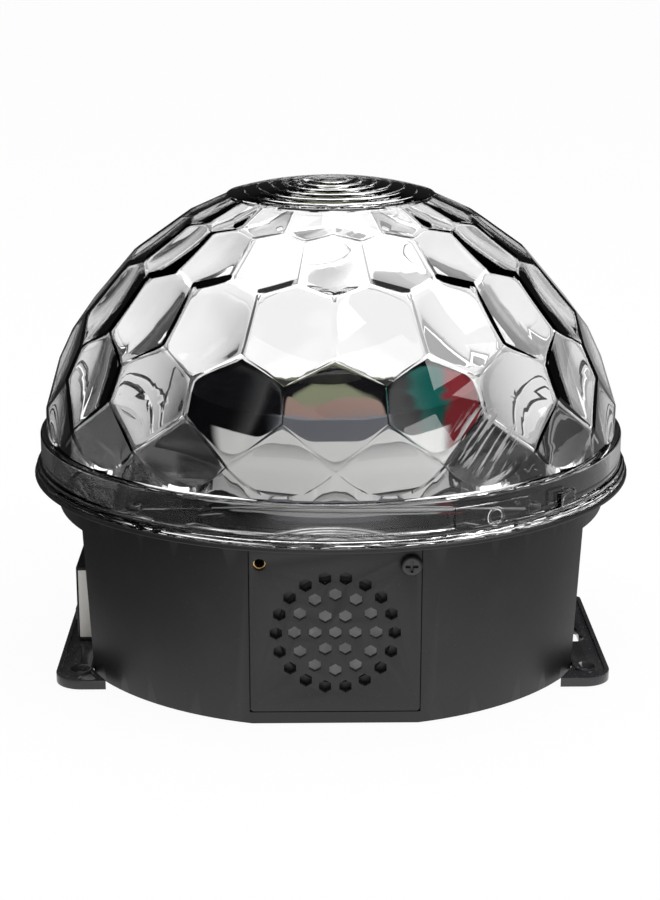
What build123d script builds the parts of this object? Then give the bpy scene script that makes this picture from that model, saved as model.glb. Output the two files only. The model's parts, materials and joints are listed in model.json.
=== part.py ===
from build123d import *
import math
import os

# A half-ball party light: a clear dome of hexagonal lenses on a black drum that holds a speaker,
# six coloured lamps with a turning lens wheel, and the electronics.
# Millimetres. +Z is up, the speaker grille faces -Y, and the origin is the middle of the underside.

# General values
overrun = 2.0
fit_gap = 0.3
running_gap = 0.05
quarter_turn = 90.0
half_turn = 180.0
full_turn = 360.0

# Drum of the housing
pad_proud = 0.6
wall_draft = 2.8
drum_height = 59.0
shoulder_height = 49.4
side_flat_inset = 11.8
front_flat_inset = 3.7
shell_wall = 2.4
lip_margin = 0.6
lip_overhang = 10.3
lip_thickness = 1.5
lip_round = 0.6
notch_height = 1.5

# Bosses inside the drum
boss_radius = 3.8
boss_inset = 3.4
deck_boss_height = 9.0
base_boss_height = 16.0
boss_bearing = 45.0
boss_bore = 1.3

# Front panel, its grille and its screws
panel_half_width = 25.9
panel_thickness = 1.6
panel_foot = 4.0
panel_top = 58.6
panel_round = 1.2
window_half_width = 22.5
window_foot = 8.0
window_top = 48.1
grille_height = 30.0
grille_hole = 3.7
grille_pitch = 6.1
grille_rings = 3
grille_ring_share = (1.0, 2.03, 2.95)
panel_screw_x = 22.8
panel_screw_height = 52.2
panel_boss_depth = 8.0
insert_radius = 2.5
insert_bore = 1.5
insert_length = 6.0
panel_hole = 1.9

# Screws
pan_head_radius = 3.3
pan_head_height = 2.0
pan_shank_radius = 1.5
pan_shank_length = 6.0
small_head_radius = 2.1
small_head_height = 1.3
small_shank_radius = 1.0
short_screw_length = 2.6
long_screw_length = 6.6
cross_width = 0.8
cross_depth_share = 0.55
cross_length_share = 1.15

# Speaker
speaker_radius = 20.6
speaker_flange = 1.0
speaker_flange_inner = 17.6
speaker_depth = 11.0
speaker_neck = 12.0
speaker_sheet = 0.8
speaker_ear = 2.3
speaker_ear_place = 22.0
magnet_radius = 14.0
magnet_depth = 6.5
back_plate_depth = 1.2
cone_edge = 15.4
cone_neck = 5.2
cone_depth = 6.0
cone_sheet = 0.5
surround_roll = 1.1
dust_cap_rise = 1.8

# Base plate, pads and fasteners
base_thickness = 2.4
pad_radius = 6.0
pad_recess = 0.7
pad_inset = 27.7
vent_length = 26.0
vent_width = 2.2
vent_pitch = 6.0
vent_count = 7
vent_place = 8.0
base_screw_sink = 1.4

# Mounting feet
mount_thickness = 3.0
mount_reach = 11.9
mount_inner_gap = 0.5
mount_front = 58.0
mount_rear = 20.5
mount_tip_back = 4.9
mount_tip_rear = 47.0
mount_round = 9.0
mount_rear_round = 2.5
mount_hole_radius = 2.25
mount_hole_reach = 4.3
mount_hole_front = 47.7
mount_hole_rear = 9.7
mount_collar_radius = 3.8
mount_collar_rise = 0.7
mount_sink_depth = 1.6
mount_sink_radius = 3.3
keyhole_radius = 3.4
keyhole_slot = 2.1
keyhole_front = 20.5
keyhole_rear = 12.0
tongue_thickness = 1.2
tongue_reach = 14.0
tongue_front = 40.0
tongue_rear = 12.0
tongue_screw_inset = 9.5
tongue_screw_margin = 8.0
rim_width = 1.4
rim_rise = 0.5

# Clear dome
dome_radius = 98.6
dome_centre = 59.1
dome_wall = 2.6
lens_bulge = 1.7
facet_columns = 18
arc_steps = 6
facet_latitudes = (14.3, 22.4, 28.9, 34.3, 47.2, 50.0, 59.5, 61.4, 69.6)
skirt_top = 74.1
skirt_inset = 0.9
skirt_wall = 3.4
arc_lift = 0.5
shoulder_ring_proud = 0.8
shoulder_ring_rise = 1.6
flange_proud = 0.9
flange_thickness = 2.0
cap_margin = 0.5
cap_sink = 0.8
cap_wall = 3.0
cap_rise = 5.7
cap_step_shares = (0.82, 0.6, 0.38, 0.16)
cap_step = 0.55
gate_bearing = 29.0
gate_width = 27.6
gate_proud = 0.7
gate_height = 10.0
ring_outer = 3.0
ring_inner = 2.0
ring_proud = 1.2
ring_height = 6.0
lug_bearing = 46.7
lug_width = 8.4
lug_proud = 1.1
lug_height = 8.0
lug_tail = 2.6
lug_tail_depth = 2.2
lug_barb = 0.8

# Deck and lamp drum
deck_thickness = 1.6
deck_opening = 33.0
deck_rib_radius = 58.0
deck_rib_width = 1.6
deck_rib_rise = 1.2
lead_hole = 3.5
lead_hole_place = 50.0
turret_radius = 42.0
turret_wall = 2.0
turret_height = 12.5
turret_floor = 2.0
turret_screw_place = 37.5
post_radius = 2.8
post_place = 33.0
retainer_thickness = 1.8
spigot_depth = 1.8
spigot_wall = 1.5
lamp_count = 6
lamp_place = 25.0
led_board_radius = 38.5
board_thickness = 1.6
led_base_radius = 4.0
led_base_height = 1.2
led_dome_radius = 2.6
lens_top_radius = 9.6
lens_foot_radius = 5.6
lens_pocket_radius = 4.6
lens_pocket_depth = 4.4
lens_flange = 1.2
retainer_hole = 8.8

# Motor, shaft and lens wheel
bracket_radius = 41.0
bracket_thickness = 1.6
motor_radius = 25.0
motor_height = 20.0
motor_ear_place = 29.5
motor_ear_radius = 4.0
motor_ear_thickness = 1.2
motor_cap_radius = 9.0
motor_cap_height = 2.0
shaft_radius = 2.5
shaft_sink = 4.0
tube_radius = 5.0
tube_bore = 3.2
tube_rise = 2.2
bush_radius = 4.2
bush_length = 4.0
bush_flange = 0.8
hub_radius = 7.0
hub_flange_radius = 9.5
hub_flange = 1.4
hub_height = 6.2
hub_lift = 0.4
wheel_thickness = 2.4
wheel_rim = 1.8
wheel_rim_height = 4.6
wheel_rim_drop = 6.2
wheel_rim_gap = 2.2
wheel_lens_count = 9
wheel_lens_place = 29.5
wheel_lens_radius = 8.8
wheel_lens_rise = 2.8

# Main circuit board in the base
main_board_length = 84.0
main_board_width = 52.0
main_board_y = 20.0
standoff_height = 5.0
standoff_radius = 3.2
standoff_margin = 4.5
transformer_length = 24.0
transformer_width = 20.0
transformer_height = 19.0
transformer_end_margin = 18.0
transformer_gap = 2.9
winding_proud = 3.0
winding_margin = 3.5
capacitor_radius = 5.0
capacitor_height = 16.0
capacitor_x = 4.0
capacitor_pitch = 13.0
heatsink_end_margin = 16.0
heatsink_length = 22.0
heatsink_width = 12.0
heatsink_height = 15.0
heatsink_base = 2.0
heatsink_fins = 5
heatsink_fin = 1.1
connector_length = 9.0
connector_width = 5.6
connector_height = 6.4
connector_count = 4
connector_pitch = 14.0

# Control pod on the left side
pod_reach = 7.9
pod_front = 21.0
pod_rear = 18.0
pod_height = 26.6
pod_wall = 1.2
pod_round = 0.8
pod_post = 2.0
end_cover_depth = 1.0
end_cover_margin = 1.4
media_board_thickness = 1.2
media_board_inset = 5.0
media_board_margin = 2.4
usb_width = 13.2
usb_height = 5.8
usb_depth = 14.0
usb_sheet = 0.4
usb_y = -7.5
usb_tongue = 1.9
usb_tongue_width = 11.0
card_width = 12.4
card_height = 2.4
card_depth = 14.0
card_slot_height = 1.2
card_y = 8.0
socket_height = 21.4
socket_proud = 0.3
button_count = 3
button_pitch = 11.5
button_y = -1.5
button_height = 11.2
button_length = 7.0
button_width = 4.4
button_proud = 1.1
button_flange = 0.8
button_flange_depth = 0.8
button_round = 0.7
button_travel = 0.7
switch_length = 6.0
switch_width = 3.6
side_cut_margin = 1.6

# Mains inlet and power switch at the back
inlet_x = 12.0
rear_height = 20.0
inlet_flange_length = 25.0
inlet_flange_width = 15.0
inlet_flange = 1.4
inlet_body_length = 21.0
inlet_body_width = 12.0
inlet_body_depth = 16.0
inlet_recess_length = 17.4
inlet_recess_width = 8.6
inlet_recess_depth = 12.5
inlet_pin_radius = 1.2
inlet_pin_spacing = 8.6
inlet_pin_length = 9.0
inlet_pin_tail = 5.0
rocker_x = -12.5
rocker_flange_width = 15.0
rocker_flange_height = 21.0
rocker_flange = 1.8
rocker_body_width = 13.0
rocker_body_height = 19.2
rocker_body_depth = 15.0
rocker_opening_width = 10.4
rocker_opening_height = 16.6
rocker_opening_depth = 9.0
rocker_width = 9.7
rocker_half_height = 7.3
rocker_pivot_depth = 3.4
rocker_pin_radius = 1.2
rocker_pin_proud = 0.8
rocker_crown = 1.5
rocker_edge = 1.2
rocker_back = 2.0
rocker_tilt = 9.0

# Radii and places that follow from the dome's radius
skirt_radius = dome_radius - skirt_inset
skirt_inner = skirt_radius - skirt_wall
shoulder_ring_radius = skirt_radius + shoulder_ring_proud
flange_radius = shoulder_ring_radius + flange_proud
lip_radius = flange_radius + lip_margin
foot_radius = lip_radius - lip_overhang
side_flat = foot_radius - side_flat_inset
front_flat = foot_radius - front_flat_inset
cap_radius = dome_radius * math.cos(math.radians(facet_latitudes[-1])) + cap_margin
pad_place = foot_radius - pad_inset
mount_outer = side_flat + mount_reach
mount_tip_inner = side_flat - mount_tip_back
mount_hole_x = side_flat + mount_hole_reach
pod_outer = side_flat + pod_reach
media_board_place = pod_outer - media_board_inset

# Places on the main board that follow from its length and its front edge
connector_y = main_board_y - main_board_width / 2 + standoff_margin
transformer_x = transformer_end_margin - main_board_length / 2
transformer_y = connector_y + connector_width + transformer_gap + winding_proud + transformer_width / 2
heatsink_x = main_board_length / 2 - heatsink_end_margin
heatsink_y = transformer_y

# The lens wheel's rim hangs round the lamp drum with its own gap
wheel_radius = turret_radius + wheel_rim_gap + wheel_rim

# Heights that follow from the sizes above
draft_slope = math.tan(math.radians(wall_draft))
body_foot = pad_proud
lip_bottom = body_foot + drum_height
lip_top = lip_bottom + lip_thickness
shoulder_z = body_foot + shoulder_height
base_top = body_foot + base_thickness
mount_top = body_foot + mount_thickness
deck_top = lip_top + deck_thickness
turret_top = deck_top + turret_height
retainer_top = turret_top + retainer_thickness
led_board_z = deck_top + turret_floor
led_face = led_board_z + board_thickness
bracket_bottom = lip_top - bracket_thickness
motor_bottom = bracket_bottom - motor_height
tube_top = retainer_top + tube_rise
bush_top = tube_top + bush_flange
hub_bottom = bush_top + hub_lift
wheel_bottom = hub_bottom + hub_flange
hub_top = hub_bottom + hub_height
flange_top = lip_top + flange_thickness
shoulder_ring_top = flange_top + shoulder_ring_rise
main_board_z = base_top + standoff_height
main_board_top = main_board_z + board_thickness
pod_foot = mount_top - rim_rise
pod_top = pod_foot + pod_height


# Helpers for placing simple solids

def block(low, high):
    """Box between two opposite corners."""
    size = [b - a for a, b in zip(low, high)]
    middle = [(a + b) / 2 for a, b in zip(low, high)]
    return Pos(*middle) * Box(*size)


def rod(radius, z_low, z_high, x=0, y=0):
    """Upright cylinder from one height to another."""
    return Pos(x, y, (z_low + z_high) / 2) * Cylinder(radius, z_high - z_low)


def ring(outer, inner, z_low, z_high, x=0, y=0):
    """Upright tube from one height to another."""
    return rod(outer, z_low, z_high, x, y) - rod(inner, z_low - overrun, z_high + overrun, x, y)


def turned(points):
    """Solid of revolution about Z from (radius, height) points."""
    return revolve(make_face(Plane.XZ * Polyline(*points, close=True)), Axis.Z)


def around(count, radius, start=0.0):
    """Evenly spaced (x, y) places on a circle."""
    places = []
    for index in range(count):
        bearing = math.radians(start + index * full_turn / count)
        places.append((radius * math.cos(bearing), radius * math.sin(bearing)))
    return places


def group(solids):
    """Several separate solids kept as one named piece."""
    return Compound([part for solid in solids for part in solid.solids()])


def front_place():
    """Frame on the front flat: x to the right, y into the drum, z up along the leaning wall."""
    return Pos(0, -front_flat, body_foot) * Rot(wall_draft, 0, 0)


def rear_place():
    """The same frame on the flat at the back."""
    return Rot(0, 0, half_turn) * front_place()


def pan_screw(head_radius, head_height, shank_radius, shank_length):
    """Pan head screw with a cross recess, its head above z = 0 and its shank below."""
    head = rod(head_radius, 0, head_height)
    head = fillet(head.edges().sort_by(Axis.Z)[-1], head_height * cross_depth_share)
    arm = head_radius * cross_length_share
    recess_floor = head_height * (1 - cross_depth_share)
    for turn in (0, quarter_turn):
        slot = block(
            (-arm / 2, -cross_width / 2, recess_floor),
            (arm / 2, cross_width / 2, head_height + overrun),
        )
        head -= Rot(0, 0, turn) * slot
    return head + rod(shank_radius, -shank_length, 0)


def small_screw(length):
    """Small pan head screw used inside the housing."""
    return pan_screw(small_head_radius, small_head_height, small_shank_radius, length)


def large_screw(length):
    """Larger pan head screw used on the outside of the housing."""
    return pan_screw(pan_head_radius, pan_head_height, pan_shank_radius, length)


# Housing

def drum(inset, z_low, z_high, half_x, half_y):
    """Leaning round wall cut by flats, drawn in by an inset."""
    def grown(size, z):
        """Size at a height, from its value at the foot of the wall."""
        return size - inset + (z - body_foot) * draft_slope

    height = z_high - z_low
    cone = Cone(grown(foot_radius, z_low), grown(foot_radius, z_high), height)
    cone = Pos(0, 0, (z_low + z_high) / 2) * cone
    sections = []
    for z in (z_low, z_high):
        section = Rectangle(2 * grown(half_x, z), 2 * grown(half_y, z))
        sections.append(Pos(0, 0, z) * section)
    return cone & loft(sections, ruled=True)


def drum_outer(z_low, z_high):
    """Outside of the drum, with side flats up to the shoulder."""
    lower = drum(0, z_low, shoulder_z, side_flat, front_flat)
    upper = drum(0, shoulder_z, z_high, foot_radius + overrun, front_flat)
    return lower + upper


def drum_inner(inset):
    """Hollow of the drum, open at both ends."""
    lower = drum(inset, body_foot - overrun, lip_top + overrun, side_flat, front_flat)
    wide_z = shoulder_z + shell_wall
    upper = drum(inset, wide_z, lip_top + overrun, foot_radius + overrun, front_flat)
    return lower + upper


def boss_places(z, bearing):
    """Four places just inside the round wall at a height."""
    wall = foot_radius + (z - body_foot) * draft_slope - shell_wall
    return around(4, wall - boss_inset, bearing)


def drum_bosses():
    """Screw bosses for the deck at the top and the base plate at the foot."""
    deck_low = lip_top - deck_boss_height
    bosses = None
    for x, y in boss_places(deck_low, boss_bearing):
        boss = ring(boss_radius, boss_bore, deck_low, lip_top, x, y)
        bosses = boss if bosses is None else bosses + boss
    for x, y in boss_places(base_top, boss_bearing):
        bosses += ring(boss_radius, boss_bore, base_top, base_top + base_boss_height, x, y)
    return bosses


def panel_screw_bosses():
    """Bosses behind the front panel's two screws, in the front frame."""
    bosses = None
    for side in (-1, 1):
        place = Pos(side * panel_screw_x, 0, panel_screw_height) * Rot(-quarter_turn, 0, 0)
        boss = place * rod(boss_radius, panel_thickness, panel_thickness + panel_boss_depth)
        bosses = boss if bosses is None else bosses + boss
    return bosses


def panel_screw_bores(radius, depth):
    """Bores for the panel's screws or their inserts, in the front frame."""
    bores = None
    for side in (-1, 1):
        place = Pos(side * panel_screw_x, 0, panel_screw_height) * Rot(-quarter_turn, 0, 0)
        bore = place * rod(radius, -overrun, depth)
        bores = bore if bores is None else bores + bore
    return bores


def front_cut():
    """Recess for the panel and window for the speaker, in the front frame."""
    recess_half = panel_half_width + fit_gap
    recess = block(
        (-recess_half, -overrun, panel_foot - fit_gap),
        (recess_half, panel_thickness, drum_height),
    )
    window = block(
        (-window_half_width, -overrun, window_foot),
        (window_half_width, shell_wall + overrun, window_top),
    )
    round_window = Pos(0, 0, grille_height) * Rot(-quarter_turn, 0, 0)
    round_window *= rod(speaker_radius + fit_gap + fit_gap, -overrun, shell_wall + overrun)
    return recess + window + round_window


def side_cut():
    """Opening in the left flat behind the control pod."""
    low = (-pod_outer, -pod_front + side_cut_margin, pod_foot + side_cut_margin)
    high = (-side_flat + shell_wall + overrun, pod_rear - side_cut_margin, pod_top - side_cut_margin)
    return block(low, high)


def rear_cut():
    """Openings for the mains inlet and the power switch, in the back frame."""
    inlet_half = inlet_body_length / 2 + fit_gap
    inlet_rise = inlet_body_width / 2 + fit_gap
    inlet = block(
        (inlet_x - inlet_half, -overrun, rear_height - inlet_rise),
        (inlet_x + inlet_half, shell_wall + overrun, rear_height + inlet_rise),
    )
    rocker_half = rocker_body_width / 2 + fit_gap
    rocker_rise = rocker_body_height / 2 + fit_gap
    rocker = block(
        (rocker_x - rocker_half, -overrun, rear_height - rocker_rise),
        (rocker_x + rocker_half, shell_wall + overrun, rear_height + rocker_rise),
    )
    return inlet + rocker


def tongue_notches():
    """Notches in the foot of the side flats for the mounting feet's tongues."""
    notches = None
    for side in (-1, 1):
        inner = side * (side_flat - shell_wall - overrun)
        outer = side * (side_flat + overrun)
        notch = block(
            (min(inner, outer), -tongue_front - fit_gap, body_foot - overrun),
            (max(inner, outer), tongue_rear + fit_gap, body_foot + notch_height),
        )
        notches = notch if notches is None else notches + notch
    return notches


def lug_place(bearing):
    """Frame on the dome's axis, x pointing outwards at a bearing from the front."""
    return Rot(0, 0, bearing - quarter_turn)


def lug_slots():
    """Slots in the lip for the dome's two snap tails."""
    half = lug_width / 2 + fit_gap
    inner = skirt_radius - lug_tail - fit_gap
    slot = block(
        (inner, -half, lip_bottom - overrun),
        (skirt_radius + fit_gap, half, lip_top + overrun),
    )
    return lug_place(lug_bearing) * slot + lug_place(lug_bearing + half_turn) * slot


def body_shell():
    """Black drum: leaning wall, flats, shoulder, lip and bosses."""
    lip = rod(lip_radius, lip_bottom, lip_top)
    lip = fillet(lip.edges(), lip_round)
    solid = drum_outer(body_foot, lip_bottom) + lip
    solid = solid - drum_inner(shell_wall) + drum_bosses()
    solid += front_place() * panel_screw_bosses()
    bore_depth = panel_thickness + panel_boss_depth + overrun
    solid -= front_place() * (front_cut() + panel_screw_bores(insert_radius, bore_depth))
    solid -= side_cut()
    solid -= rear_place() * rear_cut()
    solid -= tongue_notches()
    return solid - lug_slots()


# Front panel and its fasteners

def hex_hole(depth):
    """Six-sided hole with a corner up, along -Y to +Y."""
    circle_radius = grille_hole / math.sqrt(3)
    outline = RegularPolygon(circle_radius, 6, rotation=full_turn / 12)
    return Rot(-quarter_turn, 0, 0) * Pos(0, 0, -depth) * extrude(outline, 2 * depth)


def grille_places():
    """Centres of the grille's holes: one, then rings of six, twelve and eighteen."""
    places = [(0.0, 0.0)]
    for index in range(grille_rings):
        radius = grille_pitch * grille_ring_share[index]
        places += around(6 * (index + 1), radius)
    return places


def front_panel():
    """Flat black insert with the grille's holes and two screw holes."""
    plate = block(
        (-panel_half_width, 0, panel_foot),
        (panel_half_width, panel_thickness, panel_top),
    )
    plate = fillet(plate.edges().filter_by(Axis.Y), panel_round)
    hole = hex_hole(panel_thickness + overrun)
    for x, z in grille_places():
        plate -= Pos(x, 0, grille_height + z) * hole
    plate -= panel_screw_bores(panel_hole, panel_thickness + overrun)
    for x, z in around(4, speaker_ear_place, boss_bearing):
        place = Pos(x, 0, grille_height + z) * Rot(-quarter_turn, 0, 0)
        boss_top = panel_thickness + speaker_flange
        plate += place * ring(speaker_ear, small_shank_radius, 0, boss_top)
    return front_place() * plate


def panel_inserts():
    """Two brass threaded inserts behind the panel's screw holes."""
    solids = []
    for side in (-1, 1):
        place = Pos(side * panel_screw_x, 0, panel_screw_height) * Rot(-quarter_turn, 0, 0)
        sleeve = ring(insert_radius, insert_bore, panel_thickness, panel_thickness + insert_length)
        solids.append(front_place() * place * sleeve)
    return group(solids)


def panel_screw():
    """The one screw that is left in the front panel, at its right."""
    place = Pos(panel_screw_x, 0, panel_screw_height) * Rot(quarter_turn, 0, 0)
    return front_place() * place * large_screw(pan_shank_length)


# Speaker

def speaker_place():
    """Frame of the speaker: its axis along z, pointing into the drum from the panel's back."""
    middle = Pos(0, panel_thickness + speaker_flange, grille_height)
    return front_place() * middle * Rot(-quarter_turn, 0, 0)


def speaker_basket():
    """Pressed steel frame of the speaker with four ears."""
    cup = turned([
        (speaker_flange_inner, 0),
        (speaker_radius, 0),
        (speaker_radius, speaker_flange),
        (speaker_flange_inner + speaker_sheet, speaker_flange),
        (speaker_neck + speaker_sheet, speaker_depth),
        (cone_neck + overrun, speaker_depth),
        (cone_neck + overrun, speaker_depth - speaker_sheet),
        (speaker_neck, speaker_depth - speaker_sheet),
        (speaker_flange_inner, speaker_flange),
    ])
    for x, y in around(4, speaker_ear_place, boss_bearing):
        cup += ring(speaker_ear, small_shank_radius, 0, speaker_flange, x, y)
    hollow = turned([
        (0, -overrun),
        (speaker_flange_inner, -overrun),
        (speaker_flange_inner, speaker_flange),
        (speaker_neck, speaker_depth - speaker_sheet),
        (0, speaker_depth - speaker_sheet),
    ])
    return speaker_place() * (cup - hollow)


def speaker_surround():
    """Rubber roll between the cone and the basket."""
    roll_middle = (cone_edge + speaker_flange_inner) / 2
    flat_low = speaker_flange - cone_sheet
    profile = turned([
        (cone_edge, flat_low),
        (cone_edge, speaker_flange),
        (roll_middle, speaker_flange - surround_roll + cone_sheet),
        (speaker_flange_inner, speaker_flange),
        (speaker_flange_inner, flat_low),
        (roll_middle, flat_low - surround_roll + cone_sheet),
    ])
    return speaker_place() * profile


def speaker_cone():
    """Thin paper cone of the speaker."""
    profile = turned([
        (cone_edge, speaker_flange - cone_sheet),
        (cone_edge, speaker_flange),
        (cone_neck, speaker_flange + cone_depth),
        (0, speaker_flange + cone_depth),
        (0, speaker_flange + cone_depth - cone_sheet),
        (cone_neck, speaker_flange + cone_depth - cone_sheet),
    ])
    return speaker_place() * profile


def speaker_dust_cap():
    """Small domed cap over the middle of the cone."""
    floor = speaker_flange + cone_depth - cone_sheet
    radius = (cone_neck ** 2 + dust_cap_rise ** 2) / (2 * dust_cap_rise)
    ball = Pos(0, 0, floor - dust_cap_rise + radius) * Sphere(radius)
    return speaker_place() * (ball & rod(cone_neck, floor - dust_cap_rise, floor))


def speaker_magnet():
    """Ring magnet, its back plate and the pole that carries the cone."""
    low = speaker_depth
    high = low + magnet_depth
    magnet = rod(magnet_radius, low, high)
    plate = rod(magnet_radius - speaker_sheet, high, high + back_plate_depth)
    pole = rod(cone_neck, speaker_flange + cone_depth, low)
    return speaker_place() * (magnet + plate + pole)


def speaker_screws():
    """Four small screws through the basket's ears."""
    solids = []
    for x, y in around(4, speaker_ear_place, boss_bearing):
        place = speaker_place() * Pos(x, y, speaker_flange)
        solids.append(place * small_screw(speaker_flange + speaker_flange))
    return group(solids)


# Base plate, pads and mounting feet

def tongue_outline(side, gap):
    """Low and high corners of one tongue's space under the base plate."""
    outer = side * (side_flat + mount_inner_gap)
    inner = side * (side_flat + mount_inner_gap - tongue_reach - gap)
    low = (min(inner, outer), -tongue_front - gap)
    high = (max(inner, outer), tongue_rear + gap)
    return low, high


def tongue_screw_places(side):
    """Places of the two screws through one tongue."""
    x = side * (side_flat - tongue_screw_inset)
    return [(x, -tongue_front + tongue_screw_margin), (x, tongue_rear - tongue_screw_margin)]


def base_plate():
    """Black bottom cover with vents, board standoffs and recesses for pads and tongues."""
    plate = drum(shell_wall + fit_gap, body_foot, base_top, side_flat, front_flat)
    for x, y in standoff_places():
        plate += rod(standoff_radius, base_top, main_board_z, x, y)
        plate -= rod(small_shank_radius, body_foot + fit_gap, main_board_z + overrun, x, y)
    for side in (-1, 1):
        low, high = tongue_outline(side, fit_gap)
        plate -= block((*low, body_foot - overrun), (*high, body_foot + tongue_thickness + fit_gap))
    for x, y in pad_places():
        plate -= rod(pad_radius + fit_gap, body_foot - overrun, body_foot + pad_recess, x, y)
    for x, y in boss_places(base_top, boss_bearing):
        plate -= rod(pan_shank_radius + fit_gap, body_foot - overrun, base_top + overrun, x, y)
        sink = body_foot + base_screw_sink
        plate -= rod(pan_head_radius + fit_gap, body_foot - overrun, sink, x, y)
    for x, y in tongue_screw_places(-1) + tongue_screw_places(1):
        plate -= rod(small_shank_radius, body_foot, base_top + overrun, x, y)
    for index in range(vent_count):
        y = -vent_place - index * vent_pitch
        for side in (-1, 1):
            x = side * (vent_length / 2 + vent_pitch)
            slot = SlotOverall(vent_length, vent_width)
            plate -= Pos(x, y, body_foot - overrun) * extrude(slot, base_thickness + 2 * overrun)
    return plate


def pad_places():
    """Centres of the four rubber pads."""
    return around(4, pad_place, boss_bearing)


def foot_pads():
    """Four rubber pads let into the base plate."""
    return group([rod(pad_radius, 0, body_foot + pad_recess, x, y) for x, y in pad_places()])


def base_screws():
    """Four screws from below into the drum's bosses, their heads sunk in the plate."""
    solids = []
    for x, y in boss_places(base_top, boss_bearing):
        place = Pos(x, y, body_foot + base_screw_sink) * Rot(half_turn, 0, 0)
        length = base_boss_height / 2
        screw = pan_screw(pan_head_radius, base_screw_sink, boss_bore, length)
        solids.append(place * screw)
    return group(solids)


def foot_screws():
    """Small screws that hold the mounting feet's tongues to the base plate."""
    solids = []
    for side in (-1, 1):
        for x, y in tongue_screw_places(side):
            place = Pos(x, y, body_foot + tongue_thickness / 2) * Rot(half_turn, 0, 0)
            length = base_thickness - tongue_thickness / 2
            screw = pan_screw(small_head_radius, tongue_thickness / 2, small_shank_radius, length)
            solids.append(place * screw)
    return group(solids)


def mount_outline():
    """Outline of the right mounting foot, seen from above."""
    inner = side_flat + mount_inner_gap
    corners = [
        (inner, mount_rear),
        (inner, -mount_tip_rear),
        (mount_tip_inner, -mount_front),
        (mount_outer, -mount_front),
        (mount_outer, mount_rear),
    ]
    face = make_face(Polyline(*corners, close=True))
    by_reach = face.vertices().sort_by(Axis.X)[-2:].sort_by(Axis.Y)
    face = fillet(by_reach[0], mount_round)
    rear = face.vertices().sort_by(Axis.X)[-2:].sort_by(Axis.Y)[-1]
    return fillet(rear, mount_rear_round)


def foot_with_holes(hole_places, has_keyhole):
    """Right-hand mounting foot: flat plate with a rim, collared screw holes and a tongue."""
    outline = mount_outline()
    plate = extrude(Pos(0, 0, body_foot) * outline, mount_thickness - rim_rise)
    rim = extrude(Pos(0, 0, body_foot) * outline, mount_thickness)
    hollow = offset(outline, -rim_width)
    rim -= extrude(Pos(0, 0, body_foot) * hollow, mount_thickness + overrun)
    plate += rim
    for y in hole_places:
        floor = mount_top - rim_rise
        plate += rod(mount_collar_radius, body_foot, floor + mount_collar_rise, mount_hole_x, y)
        top = floor + mount_collar_rise
        sink = Cone(mount_hole_radius, mount_sink_radius, mount_sink_depth)
        plate -= Pos(mount_hole_x, y, top - mount_sink_depth / 2) * sink
        plate -= rod(mount_hole_radius, -overrun, top + overrun, mount_hole_x, y)
    if has_keyhole:
        plate -= keyhole()
    low, high = tongue_outline(1, 0)
    tongue = block((*low, body_foot), (high[0] + rim_width, high[1], body_foot + tongue_thickness))
    for x, y in tongue_screw_places(1):
        tongue -= rod(small_shank_radius + fit_gap, -overrun, mount_top, x, y)
        head_top = body_foot + tongue_thickness / 2
        tongue -= rod(small_head_radius + fit_gap, -overrun, head_top, x, y)
    return plate + tongue


def keyhole():
    """Keyhole through the right foot: a round end and a narrower slot."""
    hole = rod(keyhole_radius, -overrun, mount_top + overrun, mount_hole_x, -keyhole_front)
    hole += rod(keyhole_slot, -overrun, mount_top + overrun, mount_hole_x, -keyhole_rear)
    hole += block(
        (mount_hole_x - keyhole_slot, -keyhole_front, -overrun),
        (mount_hole_x + keyhole_slot, -keyhole_rear, mount_top + overrun),
    )
    return hole


def right_foot():
    """Right mounting foot with two screw holes and a keyhole between them."""
    return foot_with_holes((-mount_hole_front, mount_hole_rear), True)


def left_foot():
    """Left mounting foot, which carries the pod behind its one screw hole."""
    return mirror(foot_with_holes((-mount_hole_front,), False), Plane.YZ)


# Clear dome

def dome_point(bearing, latitude, radius):
    """Point on the dome's sphere, at a bearing from the front and a latitude in degrees."""
    angle = math.radians(bearing)
    rise = math.radians(latitude)
    flat = radius * math.cos(rise)
    return Vector(flat * math.sin(angle), -flat * math.cos(angle), dome_centre + radius * math.sin(rise))


def wall_point(bearing, z, radius):
    """Point on the upright wall that carries the lowest row of lenses."""
    angle = math.radians(bearing)
    flat = radius * math.cos(math.radians(facet_latitudes[0]))
    return Vector(flat * math.sin(angle), -flat * math.cos(angle), z)


def column_facets(middle, radius):
    """Corner points of one column's lenses, from the lowest row up."""
    half = half_turn / facet_columns

    def at(steps, latitude):
        """Corner on the sphere, some half columns away from the middle."""
        return dome_point(middle + steps * half, latitude, radius)

    a1, b1, b2, c1, c2, d1, d2, e1, f1 = facet_latitudes
    arc = lens_arc(middle, radius)
    row_a = [at(1, b1), *reversed(arc)]
    row_b = [at(0, c1), at(1, b2), at(1, b1), at(0, a1), at(-1, b1), at(-1, b2)]
    row_c = [at(1, d1), at(2, c2), at(2, c1), at(1, b2), at(0, c1), at(0, c2)]
    row_d = [at(0, e1), at(1, d2), at(1, d1), at(0, c2), at(-1, d1), at(-1, d2)]
    row_e = [at(0, e1), at(0, f1), at(2, f1), at(2, e1), at(1, d2)]
    return [row_a, row_b, row_c, row_d, row_e]


def lens_arc(middle, radius):
    """Round lower edge of the lowest lens, from corner to corner on the upright wall."""
    half = half_turn / facet_columns
    corner_z = dome_point(middle, facet_latitudes[0], radius).Z
    low_z = skirt_top + arc_lift
    points = []
    for step in range(arc_steps + 1):
        across = 2 * step / arc_steps - 1
        points.append(wall_point(middle + half + across * half, low_z + (corner_z - low_z) * across ** 2, radius))
    return points


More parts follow.
